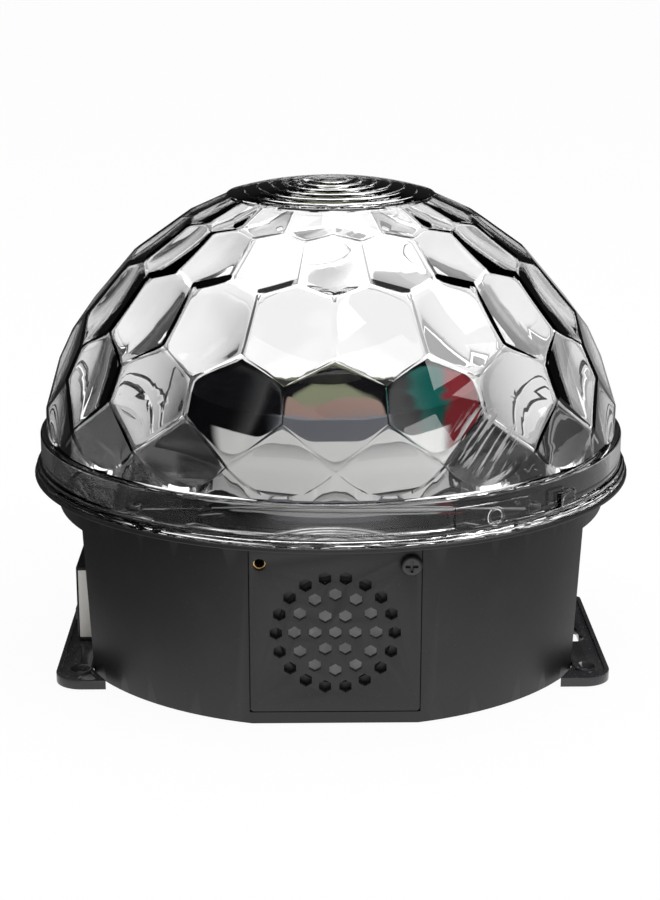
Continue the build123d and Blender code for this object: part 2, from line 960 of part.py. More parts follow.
def lens_fan(points, bulge):
    """Triangles from a facet's corners to its middle, which is pushed in by the bulge."""
    centre = Vector(0, 0, dome_centre)
    middle = sum(points, Vector(0, 0, 0)) / len(points)
    outward = (middle - centre).normalized()
    middle = middle - outward * bulge
    faces = []
    for index, point in enumerate(points):
        after = points[(index + 1) % len(points)]
        faces.append(Face(Wire.make_polygon([middle, point, after])))
    return faces


def wall_strip(arc, foot_z):
    """Upright faces between the round lower edge of a lens and the dome's foot."""
    faces = []
    for left, right in zip(arc, arc[1:]):
        feet = [Vector(right.X, right.Y, foot_z), Vector(left.X, left.Y, foot_z)]
        faces.append(Face(Wire.make_polygon([left, right, *feet])))
    return faces


def facet_solid(radius, bulge, foot_z):
    """Closed many-sided solid inside the dome's sphere, cut flat at its foot and its top."""
    faces = []
    foot = []
    crown = []
    for column in range(facet_columns):
        middle = column * full_turn / facet_columns
        for points in column_facets(middle, radius):
            faces += lens_fan(points, bulge)
        arc = lens_arc(middle, radius)
        faces += wall_strip(arc, foot_z)
        foot += [Vector(point.X, point.Y, foot_z) for point in arc[:-1]]
        crown.append(dome_point(middle, facet_latitudes[-1], radius))
    faces.append(Face(Wire.make_polygon(foot)))
    faces.append(Face(Wire.make_polygon(crown)))
    solid = Solid(Shell(faces))
    return solid if solid.volume > 0 else Solid(Shell([face * -1 for face in faces]))


def dome_cap():
    """Round cap at the top, smooth outside and stepped inside."""
    rim_z = dome_point(0, facet_latitudes[-1], dome_radius).Z - cap_sink
    apex = rim_z + cap_sink + cap_rise
    ball_radius = (cap_radius ** 2 + cap_rise ** 2) / (2 * cap_rise)
    ball = Pos(0, 0, apex - ball_radius) * Sphere(ball_radius)
    cap = ball & rod(cap_radius, rim_z, apex + overrun)
    floor = rim_z + cap_sink - cap_wall
    cap += rod(cap_radius - cap_wall, floor, rim_z + cap_sink)
    for index, share in enumerate(cap_step_shares):
        step_top = floor + (index + 1) * cap_step
        cap -= rod(cap_radius * share, floor - overrun, step_top)
    return cap


def dome_skirt():
    """Smooth wall below the facets with its shoulder ring and flange."""
    return turned([
        (skirt_inner, lip_top),
        (flange_radius, lip_top),
        (flange_radius, flange_top),
        (shoulder_ring_radius, flange_top),
        (shoulder_ring_radius, shoulder_ring_top),
        (skirt_radius, shoulder_ring_top),
        (skirt_radius, skirt_top),
        (skirt_inner, skirt_top),
    ])


def gate_pad():
    """Raised pad with a ring on the skirt, at the front right."""
    half = gate_width / 2
    pad = block(
        (skirt_inner + gate_proud, -half, flange_top),
        (skirt_radius + overrun, half, lip_top + gate_height),
    )
    pad &= rod(skirt_radius + gate_proud, lip_top, skirt_top)
    across = Pos(0, 0, lip_top + ring_height) * Rot(0, quarter_turn, 0)
    boss = across * rod(ring_outer, skirt_inner + gate_proud, skirt_radius + ring_proud)
    return lug_place(gate_bearing) * (pad + boss)


def gate_bore():
    """Open bore through the ring on the skirt."""
    across = Pos(0, 0, lip_top + ring_height) * Rot(0, quarter_turn, 0)
    return lug_place(gate_bearing) * across * rod(ring_inner, skirt_inner - overrun, lip_radius)


def snap_lug():
    """Block on the flange whose tail passes through the lip and hooks under it."""
    half = lug_width / 2
    outer = flange_radius
    head = block((skirt_radius - lug_proud, -half, lip_top), (outer, half, lip_top + lug_height))
    tail_in = skirt_radius - lug_tail
    tail_out = skirt_radius
    tail_foot = lip_bottom - fit_gap - lug_tail_depth
    tail = block((tail_in, -half, tail_foot), (tail_out, half, lip_top + lug_proud))
    barb = block((tail_in, -half, tail_foot), (tail_out + lug_barb, half, lip_bottom - fit_gap))
    return head + tail + barb


def crystal_dome():
    """Clear dome: lens facets, cap, skirt, flange, ring pad and snap lugs."""
    outside = facet_solid(dome_radius, 0, skirt_top)
    inside = facet_solid(dome_radius - dome_wall, lens_bulge, skirt_top - overrun)
    dome = outside + dome_skirt() + dome_cap() + gate_pad()
    for turn in (0, half_turn):
        dome += lug_place(lug_bearing + turn) * snap_lug()
    dome -= inside
    return dome - gate_bore()


# Deck and lamp drum

def deck_plate():
    """Black deck under the dome, with a rib ring and holes for screws and leads."""
    deck = ring(skirt_inner - fit_gap, deck_opening, lip_top, deck_top)
    inner_rib = deck_rib_radius - deck_rib_width
    deck += ring(deck_rib_radius, inner_rib, deck_top, deck_top + deck_rib_rise)
    for x, y in boss_places(lip_top - deck_boss_height, boss_bearing):
        deck -= rod(boss_bore + fit_gap, lip_top - overrun, deck_top + overrun, x, y)
    for x, y in turret_screw_places():
        deck -= rod(small_shank_radius + fit_gap, lip_top - overrun, deck_top + overrun, x, y)
    return deck - rod(lead_hole, lip_top - overrun, deck_top + overrun, 0, lead_hole_place)


def turret_screw_places():
    """Places of the three screws through the lamp drum's floor."""
    return around(3, turret_screw_place, quarter_turn)


def post_places():
    """Places of the three posts that carry the retainer's screws."""
    return around(3, post_place, full_turn / 12)


def board_screw_places():
    """Places of the three screws of the lamp board, opposite the posts."""
    return around(3, post_place, half_turn + full_turn / 12)


def lamp_places():
    """Places of the six lamps."""
    return around(lamp_count, lamp_place)


def deck_screws():
    """Four screws that hold the deck to the drum's bosses."""
    solids = []
    for x, y in boss_places(lip_top - deck_boss_height, boss_bearing):
        screw = pan_screw(small_head_radius + fit_gap, small_head_height, boss_bore, deck_boss_height)
        solids.append(Pos(x, y, deck_top) * screw)
    return group(solids)


def lamp_drum():
    """Light grey drum that holds the lamps, with a floor and three posts."""
    wall = ring(turret_radius, turret_radius - turret_wall, deck_top, turret_top)
    floor = ring(turret_radius - turret_wall, tube_radius, deck_top, led_board_z)
    drum_solid = wall + floor
    for x, y in post_places():
        drum_solid += rod(post_radius, led_board_z, turret_top, x, y)
        drum_solid -= rod(small_shank_radius, led_face, turret_top + overrun, x, y)
    for x, y in turret_screw_places():
        drum_solid -= rod(small_shank_radius + fit_gap, deck_top - overrun, led_board_z, x, y)
        drum_solid -= rod(small_head_radius + fit_gap, deck_top + floor_web(), led_board_z + overrun, x, y)
    for x, y in board_screw_places():
        drum_solid -= rod(small_shank_radius, deck_top + fit_gap, led_board_z + overrun, x, y)
    drum_solid -= rod(lead_hole, deck_top - overrun, led_board_z, 0, -lamp_place / 2)
    return drum_solid


def floor_web():
    """Thickness of the lamp drum's floor left under a sunk screw head."""
    return turret_floor - small_head_height - fit_gap


def turret_screws():
    """Three screws through the lamp drum's floor and the deck into the motor bracket."""
    length = floor_web() + deck_thickness + bracket_thickness
    solids = []
    for x, y in turret_screw_places():
        solids.append(Pos(x, y, deck_top + floor_web()) * small_screw(length))
    return group(solids)


def led_board():
    """Round metal-backed board of the lamps."""
    board = ring(led_board_radius, tube_radius + fit_gap, led_board_z, led_face)
    for x, y in post_places():
        board -= rod(post_radius + fit_gap, led_board_z - overrun, led_face + overrun, x, y)
    for x, y in board_screw_places():
        board -= rod(small_shank_radius + fit_gap, led_board_z - overrun, led_face + overrun, x, y)
    return board - rod(lead_hole / 2, led_board_z - overrun, led_face + overrun, 0, -lamp_place / 2)


def short_screws():
    """Seven like screws: three in the lamp board, two in the motor, two in the media board."""
    places = [Pos(x, y, led_face) for x, y in board_screw_places()]
    places += [Pos(x, y, lip_top) for x, y in motor_ear_places()]
    depth = media_board_place - media_board_thickness
    for y, z in pod_post_places():
        places.append(Pos(-depth, y, z) * Rot(0, quarter_turn, 0))
    return group([place * small_screw(short_screw_length) for place in places])


def long_screws():
    """Seven like screws: three in the lens retainer, four in the main board."""
    places = [Pos(x, y, retainer_top) for x, y in post_places()]
    places += [Pos(x, y, main_board_top) for x, y in standoff_places()]
    return group([place * small_screw(long_screw_length) for place in places])


def lamp(x, y):
    """One power lamp: a round base with a small dome."""
    base_top_z = led_face + led_base_height
    base = rod(led_base_radius, led_face, base_top_z, x, y)
    dome = Pos(x, y, base_top_z) * Sphere(led_dome_radius)
    return base + (dome & rod(led_base_radius, led_face, turret_top, x, y))


def lamp_lenses():
    """Six clear collimator lenses that stand on the board around the lamps."""
    pocket_top = led_face + lens_pocket_depth
    flange_low = turret_top - lens_flange
    cone_radius = (lens_top_radius + retainer_hole) / 2
    profile = [
        (lens_pocket_radius, led_face),
        (lens_foot_radius, led_face),
        (cone_radius, flange_low),
        (lens_top_radius, flange_low),
        (lens_top_radius, turret_top),
        (0, turret_top),
        (0, pocket_top),
        (lens_pocket_radius, pocket_top),
    ]
    lens = turned(profile)
    return group([Pos(x, y, 0) * lens for x, y in lamp_places()])


def lens_retainer():
    """Black plate that closes the lamp drum and holds the lenses down."""
    plate = rod(turret_radius, turret_top, retainer_top)
    spigot_outer = turret_radius - turret_wall - fit_gap
    plate += ring(spigot_outer, spigot_outer - spigot_wall, turret_top - spigot_depth, turret_top)
    plate -= rod(tube_radius + fit_gap, turret_top - overrun, retainer_top + overrun)
    for x, y in lamp_places():
        plate -= rod(retainer_hole, turret_top - overrun, retainer_top + overrun, x, y)
    for x, y in post_places():
        plate -= rod(small_shank_radius + fit_gap, turret_top - overrun, retainer_top + overrun, x, y)
    return plate


# Motor, shaft and lens wheel

def motor_bracket():
    """Steel plate under the deck that carries the motor."""
    plate = rod(bracket_radius, bracket_bottom, lip_top)
    plate -= rod(tube_radius + fit_gap, bracket_bottom - overrun, lip_top + overrun)
    for x, y in turret_screw_places():
        plate -= rod(small_shank_radius, bracket_bottom - overrun, lip_top + overrun, x, y)
    for x, y in motor_ear_places():
        plate -= rod(small_shank_radius + fit_gap, bracket_bottom - overrun, lip_top + overrun, x, y)
    return plate


def motor_ear_places():
    """Places of the motor's two ears."""
    return around(2, motor_ear_place)


def motor_can():
    """Geared motor: a round can with two ears and a bore for its shaft."""
    can = rod(motor_radius, motor_bottom, bracket_bottom)
    can = fillet(can.edges().sort_by(Axis.Z)[0], motor_cap_height / 2)
    ear_low = bracket_bottom - motor_ear_thickness
    for x, y in motor_ear_places():
        can += rod(motor_ear_radius, ear_low, bracket_bottom, x, y)
        half = motor_ear_radius
        inner = x * motor_radius / motor_ear_place / 2
        can += block((min(x, inner), y - half, ear_low), (max(x, inner), y + half, bracket_bottom))
    for x, y in motor_ear_places():
        can -= rod(small_shank_radius, ear_low - overrun, bracket_bottom + overrun, x, y)
    can += rod(motor_cap_radius, motor_bottom - motor_cap_height, motor_bottom)
    bore_floor = bracket_bottom - shaft_sink - fit_gap
    return can - rod(shaft_radius + running_gap, bore_floor, bracket_bottom + overrun)


def shaft_tube():
    """Fixed tube around the shaft, from the motor up to the bush."""
    tube = ring(tube_radius, tube_bore, bracket_bottom, tube_top)
    return tube - rod(bush_radius, tube_top - bush_length, tube_top + overrun)


def shaft_bush():
    """Bronze bush in the top of the tube."""
    sleeve = rod(bush_radius, tube_top - bush_length, tube_top)
    sleeve += rod(tube_radius, tube_top, bush_top)
    return sleeve - rod(shaft_radius + running_gap, tube_top - bush_length - overrun, bush_top + overrun)


def drive_shaft():
    """Steel shaft that turns the lens wheel, bored at its top for the screw."""
    shaft = rod(shaft_radius, bracket_bottom - shaft_sink, hub_top)
    return shaft - rod(pan_shank_radius, hub_top - pan_shank_length, hub_top + overrun)


def wheel_hub():
    """Black hub of the lens wheel with a flange below the disc."""
    hub = rod(hub_radius, hub_bottom, hub_top)
    hub += rod(hub_flange_radius, hub_bottom, wheel_bottom)
    return hub - rod(shaft_radius, hub_bottom - overrun, hub_top + overrun)


def lens_wheel():
    """Tinted disc with a ring of bulging lenses and a rim that hangs round the lamp drum."""
    wheel_top = wheel_bottom + wheel_thickness
    disc = rod(wheel_radius, wheel_bottom, wheel_top)
    rim_low = wheel_bottom - wheel_rim_drop
    disc += ring(wheel_radius, wheel_radius - wheel_rim, rim_low, wheel_bottom + wheel_rim_height)
    ball_radius = (wheel_lens_radius ** 2 + wheel_lens_rise ** 2) / (2 * wheel_lens_rise)
    ball = Pos(0, 0, wheel_top + wheel_lens_rise - ball_radius) * Sphere(ball_radius)
    lens = ball & rod(wheel_lens_radius, wheel_top - wheel_thickness / 2, wheel_top + wheel_lens_rise)
    for x, y in around(wheel_lens_count, wheel_lens_place):
        disc += Pos(x, y, 0) * lens
    return disc - rod(hub_radius, wheel_bottom - overrun, wheel_top + overrun)


def wheel_screw():
    """Screw that clamps the hub to the shaft."""
    return Pos(0, 0, hub_top) * large_screw(pan_shank_length)


# Main circuit board

def standoff_places():
    """Corners of the main board where its standoffs are."""
    half_x = main_board_length / 2 - standoff_margin
    half_y = main_board_width / 2 - standoff_margin
    return [(x, main_board_y + y) for x in (-half_x, half_x) for y in (-half_y, half_y)]


def main_board():
    """Green main circuit board."""
    half_x = main_board_length / 2
    half_y = main_board_width / 2
    board = block(
        (-half_x, main_board_y - half_y, main_board_z),
        (half_x, main_board_y + half_y, main_board_top),
    )
    for x, y in standoff_places():
        board -= rod(small_shank_radius + fit_gap, main_board_z - overrun, main_board_top + overrun, x, y)
    return board


def transformer_core():
    """Ferrite core of the supply's transformer."""
    half_x = transformer_length / 2
    half_y = transformer_width / 2
    core = block(
        (transformer_x - half_x, transformer_y - half_y, main_board_top),
        (transformer_x + half_x, transformer_y + half_y, main_board_top + transformer_height),
    )
    return core - winding_block(0)


def winding_block(proud):
    """Block of the winding that passes through the core."""
    half_x = transformer_length / 2 - winding_margin
    half_y = transformer_width / 2 + proud
    low = main_board_top + winding_margin
    high = main_board_top + transformer_height - winding_margin
    return block(
        (transformer_x - half_x, transformer_y - half_y, low),
        (transformer_x + half_x, transformer_y + half_y, high),
    )


def transformer_winding():
    """Taped winding of the transformer."""
    winding = winding_block(winding_proud)
    return fillet(winding.edges().filter_by(Axis.Z), winding_proud / 2)


def capacitors():
    """Two electrolytic capacitors."""
    solids = []
    for side in (-1, 1):
        y = main_board_y + side * capacitor_pitch / 2
        can = rod(capacitor_radius, main_board_top, main_board_top + capacitor_height, capacitor_x, y)
        solids.append(fillet(can.edges(), capacitor_radius / 10))
    return group(solids)


def heat_sink():
    """Finned aluminium heat sink of the amplifier."""
    half_x = heatsink_length / 2
    half_y = heatsink_width / 2
    floor = main_board_top + heatsink_base
    sink = block(
        (heatsink_x - half_x, heatsink_y - half_y, main_board_top),
        (heatsink_x + half_x, heatsink_y + half_y, floor),
    )
    pitch = (heatsink_length - heatsink_fin) / (heatsink_fins - 1)
    for index in range(heatsink_fins):
        x = heatsink_x - half_x + index * pitch
        sink += block(
            (x, heatsink_y - half_y, main_board_top),
            (x + heatsink_fin, heatsink_y + half_y, main_board_top + heatsink_height),
        )
    return sink


def board_connectors():
    """Row of white plug sockets along the board's front edge."""
    solids = []
    for index in range(connector_count):
        x = (index - (connector_count - 1) / 2) * connector_pitch
        shell = block(
            (x - connector_length / 2, connector_y, main_board_top),
            (x + connector_length / 2, connector_y + connector_width, main_board_top + connector_height),
        )
        half_x = connector_length / 2 - shell_wall / 2
        pocket = block(
            (x - half_x, connector_y + shell_wall / 2, main_board_top + shell_wall),
            (x + half_x, connector_y + connector_width - shell_wall / 2, main_board_top + connector_height + overrun),
        )
        solids.append(shell - pocket)
    return group(solids)


# Control pod on the left side

def pod_space(wall):
    """Block of the pod drawn in by a wall thickness."""
    return block(
        (-pod_outer + wall, -pod_front + wall, pod_foot + wall),
        (-side_flat + overrun, pod_rear - wall, pod_top - wall),
    )


def end_cover_block(gap):
    """Pale cover let into the pod's front end, grown by a gap."""
    return block(
        (-pod_outer + end_cover_margin / 2 - gap, -pod_front - gap, pod_foot + end_cover_margin - gap),
        (-side_flat - end_cover_margin, -pod_front + end_cover_depth, pod_top - end_cover_margin + gap),
    )


def socket_block(y, width, height, gap):
    """Hole through the pod's outer wall and the media board for one socket."""
    return block(
        (-pod_outer - overrun, y - width / 2 - gap, socket_height - height / 2 - gap),
        (-side_flat + overrun, y + width / 2 + gap, socket_height + height / 2 + gap),
    )


def button_places():
    """Places along Y of the three buttons."""
    first = button_y - button_pitch * (button_count - 1) / 2
    return [first + index * button_pitch for index in range(button_count)]


def button_block(y, x_low, x_high, gap):
    """Block of one button's cap between two depths, grown by a gap."""
    return block(
        (x_low, y - button_length / 2 - gap, button_height - button_width / 2 - gap),
        (x_high, y + button_length / 2 + gap, button_height + button_width / 2 + gap),
    )


def pod_post_places():
    """Places of the two posts that carry the media board."""
    margin = media_board_margin + pod_post
    return [(-pod_front + margin, pod_top - margin), (pod_rear - margin, pod_top - margin)]


def control_pod():
    """Black pod on the left flat, open towards the drum."""
    outer = pod_space(0)
    outer = fillet(outer.edges().filter_by(Axis.X) + outer.faces().sort_by(Axis.X)[0].edges(), pod_round)
    pod = outer - pod_space(pod_wall)
    for y, z in pod_post_places():
        place = Pos(0, y, z) * Rot(0, -quarter_turn, 0)
        pod += place * ring(pod_post, small_shank_radius, media_board_place, pod_outer - pod_wall)
    pod -= end_cover_block(0)
    pod -= socket_block(usb_y, usb_width, usb_height, fit_gap)
    pod -= socket_block(card_y, card_width, card_height, fit_gap)
    for y in button_places():
        pod -= button_block(y, -pod_outer - overrun, -pod_outer + pod_wall + overrun, fit_gap)
    return pod - drum_outer(body_foot - overrun, lip_bottom) - left_foot()


def pod_end_cover():
    """Pale cover in the pod's front end."""
    cover = end_cover_block(0)
    cover &= pod_space(end_cover_margin / 2)
    cover += end_cover_block(0)
    return cover - drum_outer(body_foot - overrun, lip_bottom)


def media_board():
    """Upright circuit board in the pod, cut out around its two sockets."""
    inner = -media_board_place + media_board_thickness
    board = block(
        (-media_board_place, -pod_front + media_board_margin, pod_foot + media_board_margin),
        (inner, pod_rear - media_board_margin, pod_top - media_board_margin),
    )
    board -= socket_block(usb_y, usb_width, usb_height, 0)
    board -= socket_block(card_y, card_width, card_height, 0)
    for y, z in pod_post_places():
        place = Pos(0, y, z) * Rot(0, -quarter_turn, 0)
        board -= place * rod(small_shank_radius + fit_gap, side_flat, pod_outer)
    return board


def usb_socket():
    """Metal socket shell for a memory stick, with its tongue."""
    z = socket_height
    front = -pod_outer - socket_proud
    back = front + usb_depth
    shell = block(
        (front, usb_y - usb_width / 2, z - usb_height / 2),
        (back, usb_y + usb_width / 2, z + usb_height / 2),
    )
    shell -= block(
        (front - overrun, usb_y - usb_width / 2 + usb_sheet, z - usb_height / 2 + usb_sheet),
        (back - usb_tongue, usb_y + usb_width / 2 - usb_sheet, z + usb_height / 2 - usb_sheet),
    )
    tongue_low = z - usb_height / 2 + usb_sheet + usb_sheet
    shell += block(
        (front + usb_tongue, usb_y - usb_tongue_width / 2, tongue_low),
        (back, usb_y + usb_tongue_width / 2, tongue_low + usb_tongue),
    )
    return shell


def card_socket():
    """Metal socket for a memory card."""
    z = socket_height
    front = -pod_outer - socket_proud
    shell = block(
        (front, card_y - card_width / 2, z - card_height / 2),
        (front + card_depth, card_y + card_width / 2, z + card_height / 2),
    )
    slot_half = card_width / 2 - usb_sheet
    return shell - block(
        (front - overrun, card_y - slot_half, z - card_slot_height / 2),
        (front + card_depth - usb_tongue, card_y + slot_half, z + card_slot_height / 2),
    )


def button_cap(y):
    """One push button: a rounded cap with a flange that keeps it in the pod."""
    inner_wall = -pod_outer + pod_wall
    tip = -pod_outer - button_proud
    cap = button_block(y, tip, inner_wall + fit_gap, 0)
    cap = fillet(cap.faces().sort_by(Axis.X)[0].edges(), button_round)
    flange_low = inner_wall + fit_gap
    return cap + button_block(y, flange_low, flange_low + button_flange_depth, button_flange)


def touch_switches():
    """Small switches on the media board behind the buttons."""
    flange_end = -pod_outer + pod_wall + fit_gap + button_flange_depth
    face = flange_end + button_travel + fit_gap
    solids = []
    for y in button_places():
        solids.append(block(
            (face, y - switch_length / 2, button_height - switch_width / 2),
            (-media_board_place, y + switch_length / 2, button_height + switch_width / 2),
        ))
    return group(solids)


# Mains inlet and power switch

def inlet_body():
    """Black mains inlet: flange outside, body inside and a recess for the cord's socket."""
    flange = block(
        (-inlet_flange_length / 2, -inlet_flange, -inlet_flange_width / 2),
        (inlet_flange_length / 2, 0, inlet_flange_width / 2),
    )
    flange = fillet(flange.edges().filter_by(Axis.Y), inlet_flange)
    body = block(
        (-inlet_body_length / 2, 0, -inlet_body_width / 2),
        (inlet_body_length / 2, inlet_body_depth, inlet_body_width / 2),
    )
    recess = block(
        (-inlet_recess_length / 2, -inlet_flange - overrun, -inlet_recess_width / 2),
        (inlet_recess_length / 2, inlet_recess_depth, inlet_recess_width / 2),
    )
    recess = fillet(recess.edges().filter_by(Axis.Y), inlet_recess_width / 3)
    inlet = flange + body - recess
    for side in (-1, 1):
        pin = inlet_pin(side)
        inlet -= pin
    return rear_place() * Pos(inlet_x, 0, rear_height) * inlet


def inlet_pin(side):
    """One round contact pin of the inlet, with its tail behind."""
    place = Pos(side * inlet_pin_spacing / 2, 0, 0) * Rot(-quarter_turn, 0, 0)
    tip = inlet_recess_depth - inlet_pin_length
    return place * rod(inlet_pin_radius, tip, inlet_body_depth + inlet_pin_tail)


def inlet_pins():
    """Both contact pins of the inlet."""
    place = rear_place() * Pos(inlet_x, 0, rear_height)
    return group([place * inlet_pin(side) for side in (-1, 1)])


def rocker_frame():
    """Frame of the power switch with the bearing holes of its rocker."""
    flange = block(
        (-rocker_flange_width / 2, -rocker_flange, -rocker_flange_height / 2),
        (rocker_flange_width / 2, 0, rocker_flange_height / 2),
    )
    flange = fillet(flange.edges().filter_by(Axis.Y), rocker_flange)
    body = block(
        (-rocker_body_width / 2, 0, -rocker_body_height / 2),
        (rocker_body_width / 2, rocker_body_depth, rocker_body_height / 2),
    )
    opening = block(
        (-rocker_opening_width / 2, -rocker_flange - overrun, -rocker_opening_height / 2),
        (rocker_opening_width / 2, rocker_opening_depth, rocker_opening_height / 2),
    )
    pin_half = rocker_width / 2 + rocker_pin_proud + fit_gap
    bearing = Pos(0, rocker_pivot_depth, 0) * Rot(0, quarter_turn, 0)
    bearing *= rod(rocker_pin_radius + running_gap, -pin_half, pin_half)
    frame = flange + body - opening - bearing
    return rear_place() * Pos(rocker_x, 0, rear_height) * frame


def power_rocker():
    """Rocker of the power switch, tilted to its off position."""
    half = rocker_half_height
    crown = -rocker_flange - rocker_crown
    edge = -rocker_flange + rocker_edge
    back = rocker_pivot_depth + rocker_back
    outline = [(crown, 0), (edge, half), (back, half / 2), (back, -half / 2), (edge, -half)]
    profile = make_face(Plane.YZ * Polyline(*outline, close=True))
    rocker = extrude(profile, rocker_width / 2, both=True)
    pin_half = rocker_width / 2 + rocker_pin_proud
    axis = Pos(0, rocker_pivot_depth, 0)
    rocker += axis * Rot(0, quarter_turn, 0) * rod(rocker_pin_radius, -pin_half, pin_half)
    tilt = axis * Rot(rocker_tilt, 0, 0) * Pos(0, -rocker_pivot_depth, 0)
    return rear_place() * Pos(rocker_x, 0, rear_height) * tilt * rocker


# Writing the pieces

lamp_colours = ("red", "green", "blue", "white", "amber", "violet")
button_names = ("back_button", "mode_button", "forward_button")


def pieces():
    """Every piece of the lamp by the name of its file."""
    made = {
        "body_shell": body_shell(),
        "front_panel": front_panel(),
        "panel_inserts": panel_inserts(),
        "panel_screw": panel_screw(),
        "speaker_basket": speaker_basket(),
        "speaker_surround": speaker_surround(),
        "speaker_cone": speaker_cone(),
        "speaker_dust_cap": speaker_dust_cap(),
        "speaker_magnet": speaker_magnet(),
        "speaker_screws": speaker_screws(),
        "base_plate": base_plate(),
        "base_screws": base_screws(),
        "foot_pads": foot_pads(),
        "foot_screws": foot_screws(),
        "left_mounting_foot": left_foot(),
        "right_mounting_foot": right_foot(),
        "crystal_dome": crystal_dome(),
        "deck_plate": deck_plate(),
        "deck_screws": deck_screws(),
        "lamp_drum": lamp_drum(),
        "turret_screws": turret_screws(),
        "led_board": led_board(),
        "lamp_lenses": lamp_lenses(),
        "lens_retainer": lens_retainer(),
        "short_screws": short_screws(),
        "long_screws": long_screws(),
        "motor_bracket": motor_bracket(),
        "motor_can": motor_can(),
        "shaft_tube": shaft_tube(),
        "shaft_bush": shaft_bush(),
        "drive_shaft": drive_shaft(),
        "wheel_hub": wheel_hub(),
        "lens_wheel": lens_wheel(),
        "wheel_screw": wheel_screw(),
        "main_board": main_board(),
        "transformer_core": transformer_core(),
        "transformer_winding": transformer_winding(),
        "capacitors": capacitors(),
        "heat_sink": heat_sink(),
        "board_connectors": board_connectors(),
        "control_pod": control_pod(),
        "pod_end_cover": pod_end_cover(),
        "media_board": media_board(),
        "usb_socket": usb_socket(),
        "card_socket": card_socket(),
        "touch_switches": touch_switches(),
        "inlet_body": inlet_body(),
        "inlet_pins": inlet_pins(),
        "rocker_frame": rocker_frame(),
        "power_rocker": power_rocker(),
    }
    for colour, (x, y) in zip(lamp_colours, lamp_places()):
        made["lamp_" + colour] = lamp(x, y)
    for name, y in zip(button_names, button_places()):
        made[name] = button_cap(y)
    return made


os.makedirs("parts", exist_ok=True)
for name, solid in pieces().items():
    export_step(solid, "parts/" + name + ".step")
    print(name, len(solid.solids()), round(solid.volume, 1))
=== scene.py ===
"""Looks of a half-ball party light: a clear dome of hexagonal lenses on a black speaker drum."""

import json
import logging
import math
from collections.abc import Iterator
from contextlib import contextmanager
from dataclasses import dataclass, field
from enum import Enum

import bmesh
import bpy
import numpy as np
from mathutils import Matrix, Vector


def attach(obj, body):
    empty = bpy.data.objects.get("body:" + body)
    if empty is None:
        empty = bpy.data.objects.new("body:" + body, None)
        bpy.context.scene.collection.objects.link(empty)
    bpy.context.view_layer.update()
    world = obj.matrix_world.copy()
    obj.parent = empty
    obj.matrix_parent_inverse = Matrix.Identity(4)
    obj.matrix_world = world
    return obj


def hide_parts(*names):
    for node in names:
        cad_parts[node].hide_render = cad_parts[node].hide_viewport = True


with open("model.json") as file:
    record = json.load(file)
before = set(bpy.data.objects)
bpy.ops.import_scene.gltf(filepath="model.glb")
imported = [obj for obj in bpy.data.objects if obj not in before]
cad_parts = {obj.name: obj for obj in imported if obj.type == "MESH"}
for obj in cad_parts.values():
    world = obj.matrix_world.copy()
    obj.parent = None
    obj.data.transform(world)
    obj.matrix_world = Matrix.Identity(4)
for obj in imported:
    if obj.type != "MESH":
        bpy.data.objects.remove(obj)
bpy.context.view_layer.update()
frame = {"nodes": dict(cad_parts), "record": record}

MM = 0.001
SEED = 7
MERGE = 1e-6
COLUMN_MERGE = 3e-6
LEAST_LENGTH = 1e-6
FLAT_ANGLE = math.radians(0.4)
EDGE_SEGMENTS = 2
EDGE_DEGREES = 30.0
UPRIGHT = 0.9
LEAST_WALL_RADIUS = 5.0
WALL_SPREAD = 0.02
PHOTO_HEIGHT = 900.0
SENSOR_WIDTH = 36.0
WHITE = (1.0, 1.0, 1.0, 1.0)
LOG = logging.getLogger("party_light")

Pair = tuple[float, float]
Point = tuple[float, float, float]
Colour = tuple[float, float, float]
Balls = list[tuple[Vector, float]]
Tree = bpy.types.NodeTree
Node = bpy.types.Node
Socket = bpy.types.NodeSocket
Piece = bpy.types.Object
Material = bpy.types.Material


class Body(Enum):
    """Moving bodies of the light, by the names that the record gives them."""

    HOUSING = "housing"
    ROTOR = "rotor"
    POWER_SWITCH = "power_switch"
    BACK_KEY = "back_key"
    MODE_KEY = "mode_key"
    FORWARD_KEY = "forward_key"


class Sheen(Enum):
    """How a plastic surface throws light back: (base roughness, coat weight, coat roughness)."""

    SATIN = (0.42, 0.0, 0.1)
    GRAINED = (0.5, 0.0, 0.1)
    GLOSS = (0.12, 0.35, 0.08)
    MATT = (0.7, 0.0, 0.1)
    MIRROR = (0.03, 1.0, 0.02)


# Shader node groups


def feed(node: Node, feeds: dict) -> None:
    """Links each input, by name or number, to a socket or sets it to a value."""
    for name, value in feeds.items():
        if isinstance(value, Socket):
            node.id_data.links.new(value, node.inputs[name])
        else:
            node.inputs[name].default_value = value


def add_node(tree: Tree, kind: str, feeds: dict | None = None, **values: object) -> Node:
    """Adds a node, sets its attributes and feeds its inputs.

    Args:
        tree: Node tree to add to.
        kind: Node's type name.
        feeds: Sockets or values for the inputs, by name or number.
        values: Attributes of the node by name.

    Returns:
        The new node.
    """
    node = tree.nodes.new(kind)
    for name, value in values.items():
        setattr(node, name, value)
    feed(node, feeds or {})
    return node


FLOAT = "NodeSocketFloat"
KINDS = {"Colour": "NodeSocketColor", "Normal": "NodeSocketVector", "Turn": "NodeSocketVector"}
GREY = (0.5, 0.5, 0.5, 1.0)


